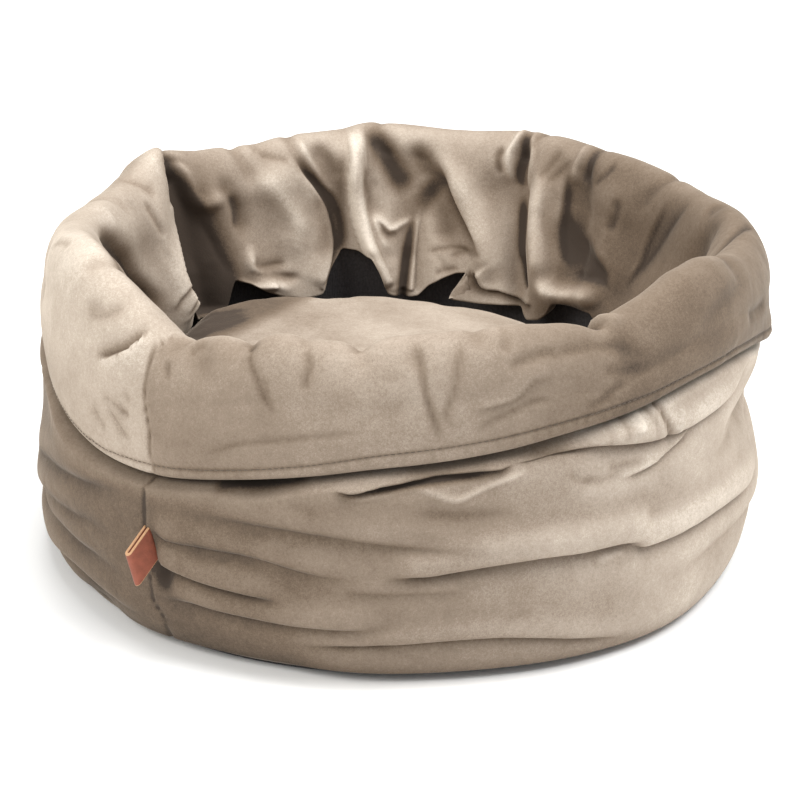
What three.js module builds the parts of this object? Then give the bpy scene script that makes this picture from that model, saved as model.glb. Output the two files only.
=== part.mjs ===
import * as THREE from 'three';

// Round padded cat bed. Millimetres, +Z up, origin on the floor at the middle of the base.
// Angles are degrees round the bed: 0 is +X, 90 the back, 180 -X, 270 the front.

// Driving sizes.
const RIM_HEIGHT = 212;
const RIM_RADIUS = 209;
const ROLL_HALF_WIDTH = 21;
const ROLL_DROP = 34;
const LINING_RADIUS = 169;
const LINING_TOP_RADIUS = 187;
const LINING_LOW = 88;
const CUFF_RADIUS = 232;
const CUFF_BELLY_HEIGHT = 160;
const HEM_RADIUS = 230;
const HEM_THICKNESS = 8;
const TOP_LEAN = 6;
const WALL_FOOT_RADIUS = 217;
const WALL_BELLY_RADIUS = 233;
const WALL_BELLY_HEIGHT = 65;
const FABRIC_GAP = 0.3;

// Hollow inside the turned-down fold, and the top of the wall that fills it.
const FOLD_LOW_RADIUS = 190;
const FOLD_INNER_RADIUS = 198.5;
const FOLD_OUTER_RADIUS = 213.5;
const FOLD_ROOF_BELOW_RIM = 17;
const WALL_TOP_CLEARANCE = 1.5;
const WALL_INNER_RADIUS = 194;
const WALL_TOP_INNER_RADIUS = 200;
const WALL_UNDER_CUFF_RADIUS = 212;

// Dark base tray.
const TRAY_THICKNESS = 3;
const TRAY_FLOOR_RADIUS = 211;
const TRAY_BAND_RADIUS = 193;
const TRAY_BAND_HEIGHT = 134;
const TRAY_BAND_THICKNESS = 2;

// Cushion.
const CUSHION_RADIUS = 166;
const CUSHION_TOP = 121;
const CUSHION_SAG = 5;
const CUSHION_SAG_START = 10;
const CUSHION_SAG_END = 95;

// Leather tag, folded in two, its ends caught in the wall's side seam.
const TAG_AT = 231.2;
const TAG_THICKNESS = 1.6;
const TAG_LENGTH = 17.5;
const TAG_WIDTH = 18;
const TAG_LAYER_GAP = 1.4;
const TAG_TOP_HEIGHT = 82;
const TAG_DROOP = 12;
const TAG_ROOT_LEAN = 7;

// Mesh steps.
const ROUND_STEPS = 104;
const CUSHION_STEPS = 54;
const TRAY_STEPS = 60;

// Rim corners that the stuffing pushes up and out, and dips where the rim sags.
const RIM_SHAPE = [
  { at: 146, rise: 8, out: 7, spread: 9 },
  { at: 97, rise: 7, out: 5, spread: 8 },
  { at: 62, rise: 5, out: 5, spread: 9 },
  { at: 4, rise: 2, out: 0, spread: 12 },
  { at: 176, rise: 2, out: 2, spread: 10 },
  { at: 205, rise: 4, out: 0, spread: 11 },
  { at: 232, rise: -21, out: -2, spread: 8 },
  { at: 245, rise: -9, out: 0, spread: 6 },
  { at: 262, rise: -8, out: 0, spread: 10 },
  { at: 304, rise: -9, out: -1, spread: 4 },
  { at: 322, rise: 8, out: 2, spread: 13 },
];

// Height of the cuff's hem round the bed.
const HEM_LINE = [
  { at: 0, z: 146 }, { at: 40, z: 140 }, { at: 85, z: 144 }, { at: 130, z: 138 }, { at: 170, z: 144 },
  { at: 202, z: 139 }, { at: 213, z: 125 }, { at: 224, z: 118 }, { at: 238, z: 121 }, { at: 256, z: 133 },
  { at: 274, z: 143 }, { at: 295, z: 152 }, { at: 314, z: 165 }, { at: 326, z: 167 }, { at: 342, z: 155 },
];

// Places where the wall draws in under the hem and leaves a dark gap.
const TUCKS = [
  { at: 250, lower: 6, spread: 8 },
  { at: 276, lower: 12, spread: 11 },
  { at: 325, lower: 4, spread: 20 },
  { at: 60, lower: 6, spread: 25 },
];

// Level folds that the slouched wall lies in. A crease runs between two angles, at three heights.
const WALL_CREASES = [
  { from: 176, to: 231, start: 66, mid: 84, end: 99, depth: 5, over: 3, drop: 3, width: 6 },
  { from: 172, to: 228, start: 46, mid: 62, end: 63, depth: 6, over: 3, drop: 4, width: 6 },
  { from: 178, to: 228, start: 34, mid: 44, end: 38, depth: 6, over: 3, drop: 4, width: 6 },
  { from: 165, to: 232, start: 12, mid: 21, end: 16, depth: 5, over: 3, drop: 3, width: 5 },
  { from: 229, to: 272, start: 77, mid: 72, end: 65, depth: 5, over: 2, drop: 3, width: 6 },
  { from: 240, to: 288, start: 94, mid: 96, end: 84, depth: 4, over: 2, drop: 2, width: 6 },
  { from: 229, to: 260, start: 55, mid: 54, end: 51, depth: 8, over: 4, drop: 5, width: 6 },
  { from: 229, to: 276, start: 33, mid: 35, end: 34, depth: 6, over: 3, drop: 3, width: 6 },
  { from: 252, to: 310, start: 22, mid: 32, end: 12, depth: 7, over: 4, drop: 4, width: 6 },
  { from: 260, to: 282, start: 60, mid: 59, end: 58, depth: 3, over: 1, drop: 1, width: 6 },
  { from: 265, to: 352, start: 67, mid: 77, end: 57, depth: 9, over: 5, drop: 6, width: 6 },
  { from: 310, to: 20, start: 36, mid: 40, end: 30, depth: 4, over: 2, drop: 2, width: 7 },
  { from: 282, to: 352, start: 131, mid: 137, end: 132, depth: 10, over: 4, drop: 5, width: 6 },
  { from: 300, to: 325, start: 110, mid: 120, end: 128, depth: 4, over: 2, drop: 2, width: 6 },
  { from: 345, to: 45, start: 88, mid: 98, end: 84, depth: 5, over: 3, drop: 3, width: 7 },
  { from: 10, to: 75, start: 56, mid: 66, end: 52, depth: 6, over: 3, drop: 3, width: 7 },
  { from: 25, to: 80, start: 26, mid: 22, end: 30, depth: 5, over: 3, drop: 3, width: 6 },
  { from: 60, to: 120, start: 94, mid: 84, end: 92, depth: 6, over: 3, drop: 4, width: 7 },
  { from: 70, to: 135, start: 40, mid: 50, end: 38, depth: 6, over: 3, drop: 3, width: 7 },
  { from: 105, to: 165, start: 66, mid: 74, end: 62, depth: 6, over: 3, drop: 4, width: 7 },
  { from: 115, to: 178, start: 18, mid: 26, end: 20, depth: 5, over: 3, drop: 3, width: 6 },
  { from: 125, to: 185, start: 104, mid: 100, end: 88, depth: 5, over: 2, drop: 3, width: 7 },
];

// Upright folds of the lining. Depth is outward, so a ridge has a negative depth.
const LINING_FOLDS = [
  { top: 146, mid: 136, low: 124, from: 226, to: 98, depth: 13, width: 13 },
  { top: 151, mid: 143, low: 138, from: 214, to: 100, depth: -7, width: 12 },
  { top: 178, mid: 162, low: 152, from: 200, to: 110, depth: 10, width: 13 },
  { top: 130, mid: 124, low: 118, from: 190, to: 100, depth: -6, width: 20 },
  { top: 112, mid: 105, low: 107, from: 218, to: 96, depth: 9, width: 12 },
  { top: 98, mid: 99, low: 98, from: 224, to: 122, depth: -9, width: 11 },
  { top: 91, mid: 93, low: 90, from: 205, to: 120, depth: 7, width: 9 },
  { top: 82, mid: 87, low: 87, from: 205, to: 96, depth: 9, width: 11 },
  { top: 79, mid: 79, low: 78, from: 200, to: 125, depth: -6, width: 12 },
  { top: 75, mid: 70, low: 72, from: 178, to: 104, depth: 8, width: 11 },
  { top: 61, mid: 64, low: 62, from: 224, to: 96, depth: 12, width: 10 },
  { top: 60, mid: 57, low: 54, from: 200, to: 110, depth: -9, width: 10 },
  { top: 48, mid: 50, low: 44, from: 214, to: 120, depth: 7, width: 11 },
  { top: 40, mid: 40, low: 40, from: 200, to: 110, depth: -5, width: 14 },
  { top: 22, mid: 27, low: 34, from: 212, to: 120, depth: 7, width: 14 },
  { top: 4, mid: 9, low: 14, from: 218, to: 100, depth: 9, width: 14 },
  { top: 350, mid: 352, low: 350, from: 200, to: 92, depth: -6, width: 22 },
  { top: 331, mid: 328, low: 330, from: 208, to: 92, depth: 9, width: 13 },
  { top: 312, mid: 316, low: 314, from: 200, to: 96, depth: -5, width: 18 },
  { top: 300, mid: 297, low: 300, from: 206, to: 92, depth: 8, width: 12 },
  { top: 277, mid: 281, low: 276, from: 204, to: 94, depth: 8, width: 13 },
  { top: 262, mid: 263, low: 265, from: 196, to: 100, depth: -6, width: 16 },
  { top: 249, mid: 247, low: 250, from: 200, to: 94, depth: 9, width: 12 },
  { top: 234, mid: 231, low: 230, from: 190, to: 96, depth: 7, width: 11 },
  { top: 216, mid: 214, low: 218, from: 206, to: 92, depth: 9, width: 13 },
  { top: 199, mid: 196, low: 197, from: 206, to: 96, depth: 6, width: 14 },
];

// Arches where the lining's lower edge lifts off the dark band.
const LINING_ARCHES = [
  { at: 136, rise: 24, spread: 2.5 },
  { at: 119, rise: 14, spread: 5 },
  { at: 99, rise: 40, spread: 4.5 },
  { at: 81, rise: 30, spread: 5 },
  { at: 66, rise: 20, spread: 4 },
  { at: 50, rise: 22, spread: 6 },
];

// Dents in the rolled rim and the cuff.
const CUFF_DENTS = [
  { at: 209, z: 176, deep: 5, wide: 16, high: 7 },
  { at: 212, z: 196, deep: 4, wide: 12, high: 6 },
  { at: 240, z: 186, deep: 5, wide: 9, high: 10 },
  { at: 249, z: 184, deep: 6, wide: 8, high: 16 },
  { at: 263, z: 178, deep: 3, wide: 10, high: 26 },
  { at: 280, z: 186, deep: 4, wide: 8, high: 24 },
  { at: 305, z: 192, deep: 6, wide: 9, high: 12 },
  { at: 340, z: 196, deep: 4, wide: 20, high: 9 },
  { at: 20, z: 190, deep: 5, wide: 12, high: 18 },
  { at: 74, z: 188, deep: 5, wide: 14, high: 16 },
  { at: 120, z: 184, deep: 5, wide: 14, high: 20 },
  { at: 168, z: 192, deep: 5, wide: 12, high: 14 },
];

// Slow unevenness of the stuffing round the bed.
const LUMPS = [
  { waves: 3, size: 1.6, turn: 20 },
  { waves: 5, size: 1.2, turn: 75 },
  { waves: 8, size: 0.9, turn: 140 },
];

const radians = (degrees) => (degrees * Math.PI) / 180;
const bump = (distance, spread) => Math.exp(-((distance / spread) ** 2));
const clamp01 = (value) => Math.min(1, Math.max(0, value));
const mix = (a, b, t) => a + (b - a) * t;

function ramp(value, from, to) {
  const t = clamp01((value - from) / (to - from));
  return t * t * (3 - 2 * t);
}

// Signed angle from one direction to another, between -180 and 180.
function turnFrom(reference, angle) {
  return ((((angle - reference) % 360) + 540) % 360) - 180;
}

// Quadratic through a start, a middle and an end value.
function throughThree(start, mid, end, t) {
  const bow = mid - (start + end) / 2;
  return mix(start, end, t) + bow * 4 * t * (1 - t);
}

// Smooth closed curve through a table of values round the bed.
function aroundTable(table, angle, column) {
  const count = table.length;
  const turned = table.map((row) => (((angle - row.at) % 360) + 360) % 360);
  const here = turned.indexOf(Math.min(...turned));
  const row = (offset) => table[(here + offset + count) % count];
  const span = (((row(1).at - row(0).at) % 360) + 360) % 360;
  const t = turned[here] / span;
  const [a, b, c, d] = [row(-1)[column], row(0)[column], row(1)[column], row(2)[column]];
  const slopes = [(c - a) / 2, (d - b) / 2];
  const cubic = (2 * t ** 3 - 3 * t ** 2 + 1) * b + (t ** 3 - 2 * t ** 2 + t) * slopes[0];
  return cubic + (3 * t ** 2 - 2 * t ** 3) * c + (t ** 3 - t ** 2) * slopes[1];
}

function rimSum(angle, column) {
  const term = (row) => row[column] * bump(turnFrom(row.at, angle), row.spread);
  return RIM_SHAPE.reduce((total, row) => total + term(row), 0);
}

function lump(angle) {
  const term = (row) => row.size * Math.sin(radians(row.waves * angle + row.turn));
  return LUMPS.reduce((total, row) => total + term(row), 0);
}

const rimHeight = (angle) => RIM_HEIGHT + rimSum(angle, 'rise');
const hemHeight = (angle) => aroundTable(HEM_LINE, angle, 'z');

// How far the plan swings out at the rim's corners and leans to +X. The base stays round.
function planOut(angle, z) {
  const lean = TOP_LEAN * Math.cos(radians(angle));
  return (rimSum(angle, 'out') + 0.6 * lump(angle) + lean) * ramp(z, TRAY_BAND_HEIGHT, 188);
}

function archedLow(angle) {
  const term = (row) => row.rise * bump(turnFrom(row.at, angle), row.spread);
  return LINING_LOW + LINING_ARCHES.reduce((total, row) => total + term(row), 0);
}

// Outward depth of the lining's upright folds.
function liningFoldDepth(angle, z) {
  return LINING_FOLDS.reduce((total, fold) => {
    const t = (fold.from - z) / (fold.from - fold.to);
    const path = throughThree(fold.top, fold.mid, fold.low, clamp01(t));
    const aside = radians(turnFrom(path, angle)) * LINING_RADIUS;
    const ends = ramp(t, -0.12, 0.18) * (1 - ramp(t, 0.85, 1.15));
    return total + fold.depth * ends * bump(aside, fold.width);
  }, 0);
}

function dentDepth(angle, z) {
  return CUFF_DENTS.reduce((total, dent) => {
    const aside = radians(turnFrom(dent.at, angle)) * CUFF_RADIUS;
    return total + dent.deep * bump(aside, dent.wide) * bump(z - dent.z, dent.high);
  }, 0);
}

// Crease effect on the wall at one place: how far in, and how far the cloth above hangs down.
function wallFold(angle, z) {
  let inward = 0;
  let down = 0;
  for (const crease of WALL_CREASES) {
    const span = (((crease.to - crease.from) % 360) + 360) % 360;
    const t = (span / 2 + turnFrom(crease.from + span / 2, angle)) / span;
    const ends = ramp(t, -0.04, 0.2) * (1 - ramp(t, 0.8, 1.04));
    const height = throughThree(crease.start, crease.mid, crease.end, clamp01(t));
    const above = z - height;
    inward += ends * crease.depth * bump(above, crease.width);
    inward -= ends * crease.over * bump(above - 1.9 * crease.width, 1.5 * crease.width);
    down += ends * crease.drop * bump(above - 0.9 * crease.width, crease.width);
  }
  return { inward, down };
}

// Section of the fold: lining, rolled rim and cuff, from the lining's lower edge to the hem.
function foldSkin(angle) {
  const rim = rimHeight(angle);
  const hem = hemHeight(angle);
  const low = archedLow(angle);
  const shoulder = rim - ROLL_DROP;
  const points = [];
  const liningRows = 9;
  const rollRows = 8;
  const cuffRows = 6;
  for (let row = 0; row < liningRows; row += 1) {
    const z = mix(low, shoulder, row / liningRows);
    const flare = mix(LINING_RADIUS, LINING_TOP_RADIUS, ramp(z, 95, shoulder + 15));
    points.push([flare + planOut(angle, z) + liningFoldDepth(angle, z), z]);
  }
  for (let row = 0; row <= rollRows; row += 1) {
    const swing = Math.PI * (1 - row / rollRows);
    const z = shoulder + ROLL_DROP * Math.sin(swing);
    const flat = RIM_RADIUS + ROLL_HALF_WIDTH * Math.cos(swing);
    const inner = (1 - ramp(row, 0, rollRows / 2)) * liningFoldDepth(angle, z);
    const outer = ramp(row, rollRows * 0.3, rollRows * 0.7) * dentDepth(angle, z);
    points.push([flat + planOut(angle, z) + inner - outer, z - 0.4 * outer]);
  }
  for (let row = 1; row <= cuffRows; row += 1) {
    const z = mix(shoulder, hem, row / cuffRows);
    const belly = (z - CUFF_BELLY_HEIGHT) / 60;
    const bulge = (CUFF_RADIUS - HEM_RADIUS) * Math.max(0, 1 - belly ** 2);
    points.push([HEM_RADIUS + bulge + planOut(angle, z) - dentDepth(angle, z), z]);
  }
  return points;
}

// Inner face of the fold, from the hem round the roof of the hollow to the lining's lower edge.
function foldBack(angle) {
  const hem = hemHeight(angle);
  const low = archedLow(angle);
  const roof = rimHeight(angle) - FOLD_ROOF_BELOW_RIM;
  const halfWidth = (FOLD_OUTER_RADIUS - FOLD_INNER_RADIUS) / 2;
  const middle = (FOLD_OUTER_RADIUS + FOLD_INNER_RADIUS) / 2;
  const spring = roof - halfWidth;
  const points = [];
  points.push([HEM_RADIUS - HEM_THICKNESS + planOut(angle, hem), hem + 1]);
  for (const t of [0.25, 0.6]) {
    const z = mix(hem, spring, t);
    const flare = (HEM_RADIUS - HEM_THICKNESS - FOLD_OUTER_RADIUS) * (1 - ramp(t, 0, 0.5));
    points.push([FOLD_OUTER_RADIUS + flare + planOut(angle, z), z]);
  }
  for (let row = 0; row <= 4; row += 1) {
    const swing = (Math.PI * row) / 4;
    const z = spring + halfWidth * Math.sin(swing);
    points.push([middle + halfWidth * Math.cos(swing) + planOut(angle, z), z]);
  }
  points.push([FOLD_LOW_RADIUS, TRAY_BAND_HEIGHT]);
  points.push([FOLD_LOW_RADIUS - 6, low + 1]);
  return points;
}

function foldSection(angle) {
  return [...foldSkin(angle), ...foldBack(angle)];
}

function tuckLower(angle) {
  const term = (row) => row.lower * bump(turnFrom(row.at, angle), row.spread);
  return TUCKS.reduce((total, row) => total + term(row), 0);
}

// Outer radius of the wall without its folds.
function wallRadius(angle, z) {
  const foot = WALL_BELLY_RADIUS - WALL_FOOT_RADIUS;
  const below = clamp01(1 - z / WALL_BELLY_HEIGHT);
  const round = WALL_BELLY_RADIUS - foot * below ** 2.4 + lump(angle);
  const shoulder = hemHeight(angle) - 2 - tuckLower(angle);
  const drawnIn = ramp(z, shoulder - 20, shoulder + 3);
  const under = WALL_UNDER_CUFF_RADIUS + planOut(angle, z);
  return mix(round + 0.5 * planOut(angle, z), under, drawnIn);
}

// Section of the wall, from its foot up the outside, over the top and down the inside.
function wallSection(angle) {
  const floor = TRAY_THICKNESS + FABRIC_GAP;
  const entry = hemHeight(angle) + 6;
  const top = rimHeight(angle) - FOLD_ROOF_BELOW_RIM - WALL_TOP_CLEARANCE;
  const faceRows = 22;
  const points = [];
  for (let row = 0; row <= faceRows; row += 1) {
    const z = mix(floor + 3, entry, row / faceRows);
    const fold = wallFold(angle, z);
    const calm = 1 - ramp(z, entry - 22, entry - 8);
    points.push([wallRadius(angle, z) - fold.inward * calm, z - fold.down * calm * ramp(z, 8, 20)]);
  }
  const inner = WALL_TOP_INNER_RADIUS;
  const outer = WALL_UNDER_CUFF_RADIUS;
  points.push([outer + planOut(angle, top - 9), top - 9]);
  points.push([outer - 3 + planOut(angle, top), top - 2]);
  points.push([(inner + outer) / 2 + planOut(angle, top), top]);
  points.push([inner + 2 + planOut(angle, top), top - 2]);
  points.push([inner + planOut(angle, top - 9), top - 9]);
  points.push([WALL_INNER_RADIUS, TRAY_BAND_HEIGHT]);
  points.push([WALL_INNER_RADIUS, floor]);
  points.push([TRAY_FLOOR_RADIUS - 4, floor]);
  return points;
}

// Section of the cushion from the middle of its top to the middle of its underside.
// Its top sags towards +X.
function cushionSection(angle) {
  const floor = TRAY_THICKNESS + FABRIC_GAP;
  const edge = CUSHION_RADIUS + 1.2 * Math.sin(radians(3 * angle + 40));
  const rows = [
    [0, CUSHION_TOP], [0.3, CUSHION_TOP - 0.5], [0.55, CUSHION_TOP - 2], [0.74, CUSHION_TOP - 3],
    [0.86, CUSHION_TOP - 6.5], [0.94, CUSHION_TOP - 15], [0.985, CUSHION_TOP - 33], [1, CUSHION_TOP - 56],
    [0.985, 30], [0.93, 12], [0.85, floor], [0.4, floor], [0, floor],
  ];
  const crease = 3 * bump(turnFrom(142, angle), 26);
  return rows.map(([share, z]) => {
    const onTop = z > 60 ? 1 : 0;
    const x = share * edge * Math.cos(radians(angle));
    const sag = CUSHION_SAG * ramp(x, CUSHION_SAG_START, CUSHION_SAG_END);
    return [share * edge, z - onTop * (sag + crease * bump(share - 0.84, 0.05))];
  });
}

// Section of the base tray: a flat floor and its turned-up band.
function traySection() {
  const inner = TRAY_BAND_RADIUS - TRAY_BAND_THICKNESS;
  return [
    [0, 0], [TRAY_FLOOR_RADIUS, 0], [TRAY_FLOOR_RADIUS, TRAY_THICKNESS], [TRAY_BAND_RADIUS, TRAY_THICKNESS],
    [TRAY_BAND_RADIUS, TRAY_BAND_HEIGHT], [inner, TRAY_BAND_HEIGHT], [inner, TRAY_THICKNESS],
    [0, TRAY_THICKNESS],
  ];
}

// Sweeps a section round the bed. An open section starts and ends on the axis.
function sweptSolid(sectionAt, steps, closed) {
  const sections = [];
  for (let step = 0; step < steps; step += 1) {
    sections.push(sectionAt((360 * step) / steps));
  }
  const rows = sections[0].length;
  const positions = [];
  const index = [];
  const first = closed ? 0 : 1;
  const last = closed ? rows : rows - 1;
  const perStep = last - first;
  sections.forEach((section, step) => {
    const angle = radians((360 * step) / steps);
    for (let row = first; row < last; row += 1) {
      const [radius, z] = section[row];
      positions.push(radius * Math.cos(angle), radius * Math.sin(angle), z);
    }
  });
  const at = (step, row) => (step % steps) * perStep + (closed ? row % rows : row - first);
  const bands = closed ? rows : rows - 3;
  for (let step = 0; step < steps; step += 1) {
    for (let band = 0; band < bands; band += 1) {
      const row = first + band;
      index.push(at(step, row), at(step, row + 1), at(step + 1, row + 1));
      index.push(at(step, row), at(step + 1, row + 1), at(step + 1, row));
    }
  }
  if (!closed) {
    const start = positions.length / 3;
    positions.push(0, 0, sections[0][0][1], 0, 0, sections[0][rows - 1][1]);
    for (let step = 0; step < steps; step += 1) {
      index.push(start, at(step, first), at(step + 1, first));
      index.push(start + 1, at(step + 1, last - 1), at(step, last - 1));
    }
  }
  return facingOut(positions, index);
}

// Turns the triangles over when the volume that they enclose comes out negative.
function facingOut(positions, index) {
  const corner = (i) => new THREE.Vector3().fromArray(positions, 3 * i);
  let volume = 0;
  for (let i = 0; i < index.length; i += 3) {
    const [a, b, c] = [corner(index[i]), corner(index[i + 1]), corner(index[i + 2])];
    volume += a.dot(b.cross(c)) / 6;
  }
  const geometry = new THREE.BufferGeometry();
  geometry.setAttribute('position', new THREE.Float32BufferAttribute(positions, 3));
  geometry.setIndex(volume > 0 ? index : index.slice().reverse());
  geometry.computeVertexNormals();
  return geometry;
}

// Outline of the folded strip seen from above: out along one layer, round the fold and back.
function tagOutline() {
  const half = TAG_LAYER_GAP / 2;
  const outer = half + TAG_THICKNESS;
  const bend = TAG_LENGTH - outer;
  const shape = new THREE.Shape();
  shape.moveTo(0, -outer);
  shape.lineTo(bend, -outer);
  shape.absarc(bend, 0, outer, -Math.PI / 2, Math.PI / 2, false);
  shape.lineTo(0, outer);
  shape.lineTo(0, half);
  shape.lineTo(bend, half);
  shape.absarc(bend, 0, half, Math.PI / 2, -Math.PI / 2, true);
  shape.lineTo(0, -half);
  shape.closePath();
  return shape;
}

// The wall's farthest reach behind the tag, so that the strip starts just clear of it.
function tagRoot() {
  const faces = [0, 0.25, 0.5, 0.75, 1].map((t) => {
    const z = TAG_TOP_HEIGHT - t * TAG_WIDTH;
    const angle = TAG_AT + (t * TAG_ROOT_LEAN) / radians(WALL_BELLY_RADIUS);
    return wallRadius(angle, z) - wallFold(angle, z).inward;
  });
  return Math.max(...faces) + 2 * FABRIC_GAP;
}

function tagGeometry() {
  const settings = { depth: TAG_WIDTH, bevelEnabled: false, curveSegments: 8 };
  const strip = new THREE.ExtrudeGeometry(tagOutline(), settings);
  const root = tagRoot();
  const slope = TAG_DROOP / TAG_LENGTH;
  const places = strip.getAttribute('position');
  for (let i = 0; i < places.count; i += 1) {
    const outward = places.getX(i);
    const down = TAG_WIDTH - places.getZ(i);
    const aside = places.getY(i) + (TAG_ROOT_LEAN * down) / TAG_WIDTH;
    places.setXYZ(i, root + outward, aside, TAG_TOP_HEIGHT - down - slope * outward);
  }
  strip.rotateZ(radians(TAG_AT));
  return strip;
}

function piece(name, geometry, color, roughness) {
  const material = new THREE.MeshStandardMaterial({ color, roughness, metalness: 0 });
  const mesh = new THREE.Mesh(geometry, material);
  mesh.name = name;
  return mesh;
}

const bed = new THREE.Group();
bed.name = 'cat_bed';
bed.add(piece('base_tray', sweptSolid(traySection, TRAY_STEPS, false), 0x2c2b29, 0.95));
bed.add(piece('outer_wall', sweptSolid(wallSection, ROUND_STEPS, true), 0x93806b, 0.85));
bed.add(piece('lining_cuff', sweptSolid(foldSection, ROUND_STEPS, true), 0xb3a18a, 0.85));
bed.add(piece('cushion', sweptSolid(cushionSection, CUSHION_STEPS, false), 0xc4b299, 0.85));
bed.add(piece('leather_tag', tagGeometry(), 0x81513e, 0.6));

export default bed;
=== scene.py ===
"""Looks of the round padded cat bed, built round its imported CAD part.

Sizes and tables are in millimetres and degrees, and meshes are made in metres.
Angles run round the bed: 0 is +X, 90 the back, 180 -X and 270 the front.
"""
import math
from collections import namedtuple

import bpy
import numpy as np
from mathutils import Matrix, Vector


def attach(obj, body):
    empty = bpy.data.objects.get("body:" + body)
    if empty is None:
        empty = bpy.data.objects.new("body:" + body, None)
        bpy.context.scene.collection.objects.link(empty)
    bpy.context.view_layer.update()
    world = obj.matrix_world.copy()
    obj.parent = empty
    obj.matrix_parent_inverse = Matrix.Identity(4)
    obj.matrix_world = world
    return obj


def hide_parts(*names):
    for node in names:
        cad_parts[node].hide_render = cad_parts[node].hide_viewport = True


MM = 0.001

# Sizes that the part's source gives.
RIM_HEIGHT = 212
RIM_RADIUS = 209
ROLL_HALF_WIDTH = 21
ROLL_DROP = 34
LINING_RADIUS = 169
CUFF_RADIUS = 232
HEM_RADIUS = 230
TOP_LEAN = 6
WALL_FOOT_RADIUS = 217
WALL_BELLY_RADIUS = 233
WALL_BELLY_HEIGHT = 65
FABRIC_GAP = 0.3
FOLD_LOW_RADIUS = 190
FOLD_INNER_RADIUS = 198.5
FOLD_OUTER_RADIUS = 213.5
FOLD_ROOF_BELOW_RIM = 17
WALL_TOP_CLEARANCE = 1.5
WALL_INNER_RADIUS = 194
WALL_TOP_INNER_RADIUS = 200
WALL_UNDER_CUFF_RADIUS = 212
TRAY_THICKNESS = 3
TRAY_FLOOR_RADIUS = 211
TRAY_BAND_RADIUS = 193
TRAY_BAND_HEIGHT = 134
TRAY_BAND_THICKNESS = 2
CUSHION_RADIUS = 166
CUSHION_SAG = 5
CUSHION_SAG_SPAN = (10, 95)
TAG_AT = 231.2
TAG_THICKNESS = 1.6
TAG_LENGTH = 17.5
TAG_WIDTH = 18
TAG_LAYER_GAP = 1.4
TAG_TOP_HEIGHT = 82
TAG_DROOP = 12
TAG_ROOT_LEAN = 7

# The well that stays free over the cushion.
WELL_FLOOR = 121.8
WELL_HALF_WIDTH = 115
WELL_EASE = 18

# The wall's and the sleeve's cloth.
PLAN_FULL_HEIGHT = 188
LUMP_SHARE = 0.6
WALL_PLAN_SHARE = 0.5
WALL_FOOT_POWER = 2.4
WALL_ENTRY_ABOVE_HEM = 6
WALL_CALM_FOOT = (8, 20)
WALL_CALM_BELOW_ENTRY = (10, 3)
WALL_FOOT_RELIEF = 0.4
WALL_TURN_BELOW_HEM = 2
WALL_TURN_START = 7
WALL_TURN_END = 5
DRAWN_IN_HEIGHTS = (150, 195)
LINING_TOP_RADIUS = 188
LINING_FLARE_FROM = 95
LINING_FOLD_RADIUS = 177
LINING_CLEARANCE = (2.5, 1.2)
LINING_CLEARANCE_HEIGHTS = (134, 150)
ROOF_EASE_HEIGHT = 7
ROOF_EASE = 0.25
ROOF_FREE = 3
CUSHION_CLEARANCE = 3
EDGE_SHIFT_REACH = 20
BROAD_FADE_IN = (-0.12, 0.18)
BROAD_FADE_OUT = (0.85, 1.15)
HEM_ROUNDING = 1.2
HEM_ROUNDING_HEIGHT = 2
HEM_SWELL = 0.35
HEM_EDGE_THICKNESS = 4
CLOTH_EDGE_THICKNESS = 3
PUCKER_PITCH = 2.1
PUCKER_SEED = 3
PUCKER_WIDTH = 1.6

# The upright seam and the hem's line of stitches.
SEAM_AT = 230.6
SEAM_DEPTH = 1.4
SEAM_WIDTH = 1.1
SEAM_PULL = 0.3
SEAM_PULL_WIDTH = 6
SEAM_SHADE = 0.3
SEAM_SHADE_WIDTH = 0.9
SEAM_NAP_REACH = 15
STITCHED_DEPTH = 0.8
STITCHED_WIDTH = 1.2
STITCHED_SHADE = 0.12

# Shares of the way over the rolled rim at which one cloth's folds pass into the other's.
LINING_FADE = (0.3, 0.62)
CUFF_FADE = (0.4, 0.75)

# The cushion's cover.
CUSHION_PRESSURE = 4
CUSHION_SWELL = 4
CUSHION_FLOOR = 3.6
CUSHION_TOP_HEIGHTS = (60, 100)
CUSHION_WIDEST_ROW = 7
CUSHION_LIFT = 11
CUSHION_LIFT_LEFT = (-20, 100)
CUSHION_LIFT_BACK = (-20, 110)
CUSHION_EDGE_LIFT = 11
CUSHION_EDGE_LIFT_LEFT = (60, 120)
CUSHION_EDGE_LIFT_OUT = (105, 150)

# The tag and the stitches.
TAG_ROUNDING = 0.45
TAG_SIDE_POINTS = 14
TAG_ROOT_SUNK = 0.5
STITCH_LENGTH = 2.8
STITCH_PITCH = 3.8
STITCH_RADIUS = 0.32
STITCH_SECTION = [(-0.5, 0.15), (-0.32, 0.85), (0, 1), (0.32, 0.85), (0.5, 0.15)]
STITCH_SIDES = 6

# Mesh steps.
ROUND_STEPS = 640
WALL_FACE_ROWS = 144
LINING_ROWS = 64
ROLL_ROWS = 44
CUFF_ROWS = 36
CUSHION_STEPS = 240
CUSHION_ROWS = 96
CUSHION_VOXEL = 5
CLOTH_FRAMES = 20
SOLE_STEPS = 180
BAND_STEPS = 360
BAND_ROWS = 30

# Proportions of the fold forms: shares of a fold's width, and roundings in millimetres.
CREASE_ROUNDING = 0.5
TUBE_SKIRT = 0.35
TUBE_SKIRT_WIDTH = 1.6
LIP_STEP = 0.9
LIP_FALL = 2.2
ROLL_ROUNDING = 0.4
ROLL_UNDER = 1.5
ROLL_EDGE = 0.8
ROLL_TOP_AT = 2.1
ROLL_TOP = 1.7
ROLL_LAP_AT = 1.1
ROLL_LAP = 1.2

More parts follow.
